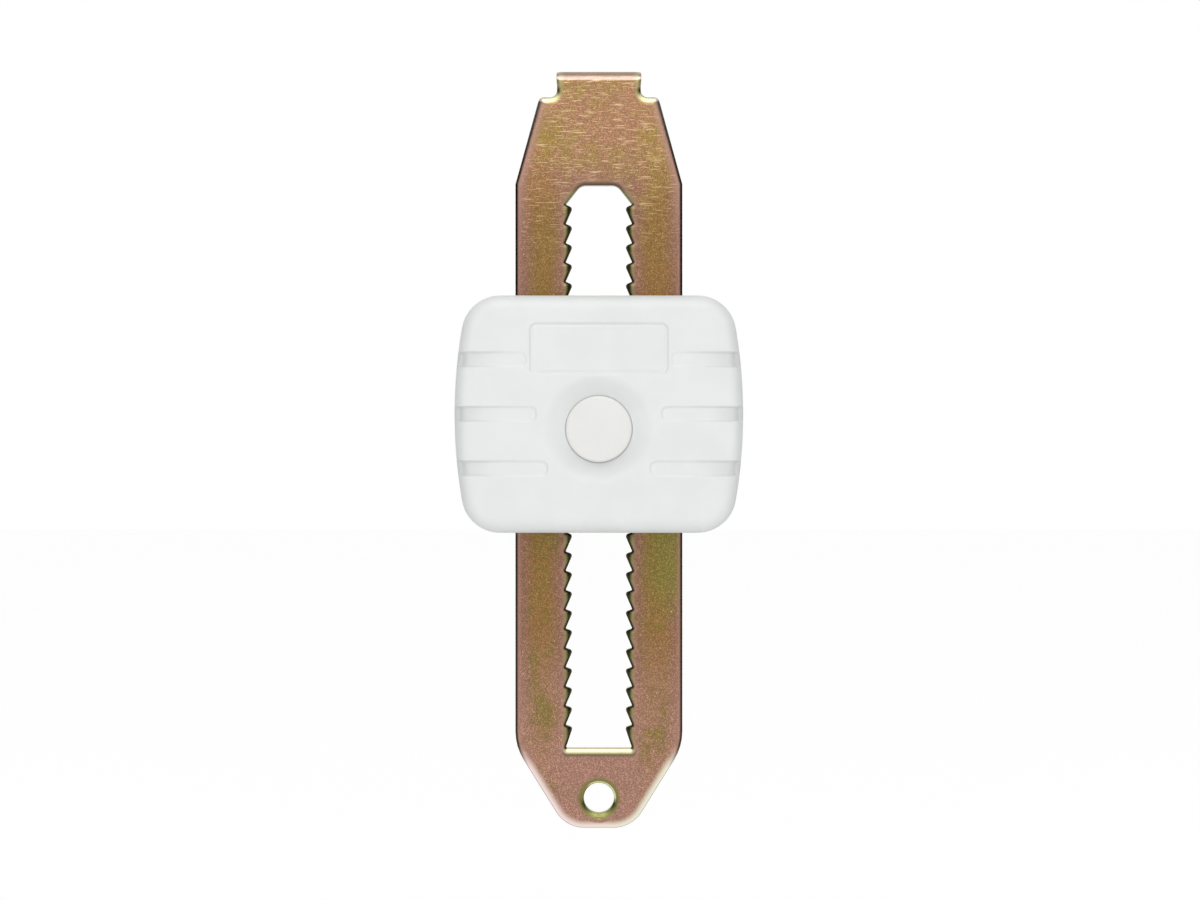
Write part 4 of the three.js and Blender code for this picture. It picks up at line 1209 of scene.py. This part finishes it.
for side in (-1, 1):
    corners = [(wing_slope - FLANGE_FRONT, FLANGE_FRONT), (wing_slope - WING_BACK, WING_BACK),
               (WING_REACH, WING_BACK), (WING_REACH, FLANGE_FRONT)]
    wing_points, wing_faces = slab([(side * x, h) for x, h in corners], -WING_HALF, WING_HALF)
    faces += [tuple(len(points) + i for i in face) for face in wing_faces]
    points += wing_points
button = linked_mesh("button_cap", in_case([(x, h, z + BUTTON_DROP) for x, h, z in points]), faces)
finish_mesh(button, BUTTON_WHITE, 50)
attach(button, "button")
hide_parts("push_button")

# %% [markdown]
# ## Finish: steels inside the case
# The pawls, the guide plate, the screws and the springs are plain steel. They show only in the slot and at the
# back, so one recipe serves both: a grey metal whose grain and roughness vary a little.

# %% Mix the steels


def bright_steel(name, colour, shade, rough, scale):
    made, place = started(name)
    grain = speckle(place, scale, 3.0, 0.6)
    stain = speckle(place, 0.3, 2.0)
    sockets = {
        "Base Color": blend(stain * 0.5 + grain * 0.5, shade, colour),
        "Metallic": 1.0,
        "Roughness": rough + (grain - 0.5) * 0.2,
        "Normal": bumped(grain, 0.2, 0.02),
    }
    return principled(made, sockets)


BARE_STEEL = bright_steel("stamped_steel", (0.5, 0.51, 0.53), (0.36, 0.36, 0.37), 0.38, 3.0)
ZINC_STEEL = bright_steel("bright_zinc", (0.66, 0.68, 0.7), (0.5, 0.52, 0.54), 0.3, 4.0)
STEEL_NODES = {"left_pawl": BARE_STEEL, "right_pawl": BARE_STEEL, "pawl_guide_plate": BARE_STEEL,
               "upper_guide_screw": ZINC_STEEL, "lower_guide_screw": ZINC_STEEL}
for name, steel in STEEL_NODES.items():
    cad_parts[name].data.materials.clear()
    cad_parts[name].data.materials.append(steel)
print("steels mixed for the pawls, the guide plate and its screws")

# %% [markdown]
# ## The case screws
# Four small pan-head screws with a cross recess close the case from behind. One head is modelled and Geometry
# Nodes set it on four points, each turned by its own seeded angle, as a screwdriver leaves them.

# %% Model one screw
HEAD_RADIUS = 2.2
HEAD_HEIGHT = 1.4
SHANK_RADIUS = 1.2
SHANK_LENGTH = 8.0
CROSS_ARM = 1.15
CROSS_HALF = 0.28
CROSS_DEPTH = 0.75


def head_points(plan):
    """Height of a pan head with a cross recess, above its seat."""
    away = np.linalg.norm(plan, axis=1)
    crown = HEAD_HEIGHT - 0.35 * (away / HEAD_RADIUS) ** 2 - 0.55 * np.clip((away - 1.6) / 0.6, 0, 1) ** 2
    x, z = np.abs(plan).T
    arm = np.minimum(np.maximum(x - CROSS_HALF, z - CROSS_ARM), np.maximum(z - CROSS_HALF, x - CROSS_ARM))
    sunk = CROSS_DEPTH * np.clip(-arm / 0.09, 0, 1) * np.clip(1.25 - away / 1.6, 0, 1)
    return lifted(plan, crown - sunk)


def cross(half, reach):
    corner = [(half, reach), (half, half), (reach, half), (reach, -half), (half, -half), (half, -reach)]
    return np.array(corner + [(-x, -z) for x, z in corner])


loops = [circle(r, 0, 0, 40) for r in (2.2, 2.1, 1.95, 1.75, 1.5, 1.3)]
loops += [cross(CROSS_HALF, CROSS_ARM), cross(CROSS_HALF - 0.09, CROSS_ARM - 0.09)]
plan, head_faces = filled(loops)
points = [tuple(p) for p in head_points(plan)]
faces = [tuple(f) for f in head_faces]
rim_loop = edge_loops(head_faces)[0]
shank = SHANK_RADIUS / HEAD_RADIUS
steps = [(1.0, 0.0), (shank, 0.0), (shank, -SHANK_LENGTH + 0.6), (0.25, -SHANK_LENGTH)]
rows = [lifted(plan[rim_loop] * s, h) for s, h in steps]
capped(points, faces, walled(points, faces, rim_loop, rows))
one_screw = linked_mesh("one_screw", points, faces)
finish_mesh(one_screw, ZINC_STEEL, 35)

# %% Set the four screws


def screw_tree():
    inputs = {"Screw": "Object", "Turn": "Float", "Seed": "Int", "Material": "Material"}
    tree, size = growing_tree("screws_in_holes", inputs)
    own_space = {"transform_space": "ORIGINAL"}
    screw = Wire.node(tree, "GeometryNodeObjectInfo", own_space, {"Object": size["Screw"]}, out="Geometry")
    sockets = {2: 0.0, 3: size["Turn"], "Seed": size["Seed"]}
    angle = Wire.node(tree, "FunctionNodeRandomValue", {"data_type": "FLOAT"}, sockets, out=1)
    spin = Wire.node(tree, "ShaderNodeCombineXYZ", None, {1: angle})
    spots = Wire.node(tree, "GeometryNodeMeshToPoints", None, {0: size["Geometry"]})
    sockets = {"Points": spots, "Instance": screw, "Rotation": spin}
    placed = Wire.node(tree, "GeometryNodeInstanceOnPoints", None, sockets)
    closed_tree(tree, placed, size["Material"])
    return tree


screws = linked_mesh("cover_screws", in_case([(x, SCREW_SEAT, z) for x, z in SCREW_PLACES]), [])
grown(screws, screw_tree(), {"Screw": one_screw, "Turn": math.pi, "Seed": 7, "Material": ZINC_STEEL})
bpy.data.objects.remove(one_screw)
finish_mesh(screws, ZINC_STEEL, 35)
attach(screws, "slider")
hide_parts("case_screw_1", "case_screw_2", "case_screw_3", "case_screw_4")

# %% [markdown]
# ## The pawl springs
# Two small coil springs push the pawls apart into the teeth. A coil follows a path, so a spiral curve is swept
# with a round wire by Geometry Nodes and laid on two points, one above and one below the button. A rigid spring
# would run into the pawls when the button is pressed. The springs are wound as a left and a right half that
# meet in the middle.

# %% Build the winder


def spring_tree():
    inputs = dict.fromkeys(("Coil Radius", "Wire Radius", "Length", "Turns", "Half Turn"), "Float")
    tree, size = growing_tree("pawl_springs", {**inputs, "Material": "Material"})
    sockets = {"Resolution": 28, "Rotations": size["Turns"], "Height": size["Length"],
               "Start Radius": size["Coil Radius"], "End Radius": size["Coil Radius"]}
    coil = Wire.node(tree, "GeometryNodeCurveSpiral", None, sockets)
    sockets = {"Resolution": 10, "Radius": size["Wire Radius"]}
    section = Wire.node(tree, "GeometryNodeCurvePrimitiveCircle", None, sockets)
    sockets = {"Curve": coil, "Profile Curve": section, "Fill Caps": True}
    wire = Wire.node(tree, "GeometryNodeCurveToMesh", None, sockets)
    laid = Wire.node(tree, "GeometryNodeTransform", None, {"Geometry": wire, "Rotation": (0, math.pi / 2, 0)})
    spin = Wire.node(tree, "ShaderNodeCombineXYZ", None, {2: size["Half Turn"]})
    half = Wire.node(tree, "GeometryNodeTransform", None, {"Geometry": laid, "Rotation": spin})
    spots = Wire.node(tree, "GeometryNodeMeshToPoints", None, {0: size["Geometry"]})
    placed = Wire.node(tree, "GeometryNodeInstanceOnPoints", None, {"Points": spots, "Instance": half})
    closed_tree(tree, placed, size["Material"])
    return tree


WINDER = spring_tree()
print("winder nodes:", len(WINDER.nodes))

# %% Wind the springs
SPRING_LIFT = 3.7
SPRING_RISE = 3.2
SPRING_HALF = 4.1
spring_spots = in_case([(0, SPRING_LIFT, BUTTON_DROP + z) for z in (-SPRING_RISE, SPRING_RISE)])
spring_sizes = {"Coil Radius": 1.0 * MM, "Wire Radius": 0.2 * MM, "Length": SPRING_HALF * MM, "Turns": 4.0,
                "Material": ZINC_STEEL}
for name, side, turn in (("right", 1, 0.0), ("left", -1, math.pi)):
    half = linked_mesh("coil_springs_" + name, spring_spots, [])
    grown(half, WINDER, {**spring_sizes, "Half Turn": turn})
    finish_mesh(half, ZINC_STEEL, 60)
    "pawl_" + name
    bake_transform(half)
    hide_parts("upper_pawl_spring", "lower_pawl_spring")
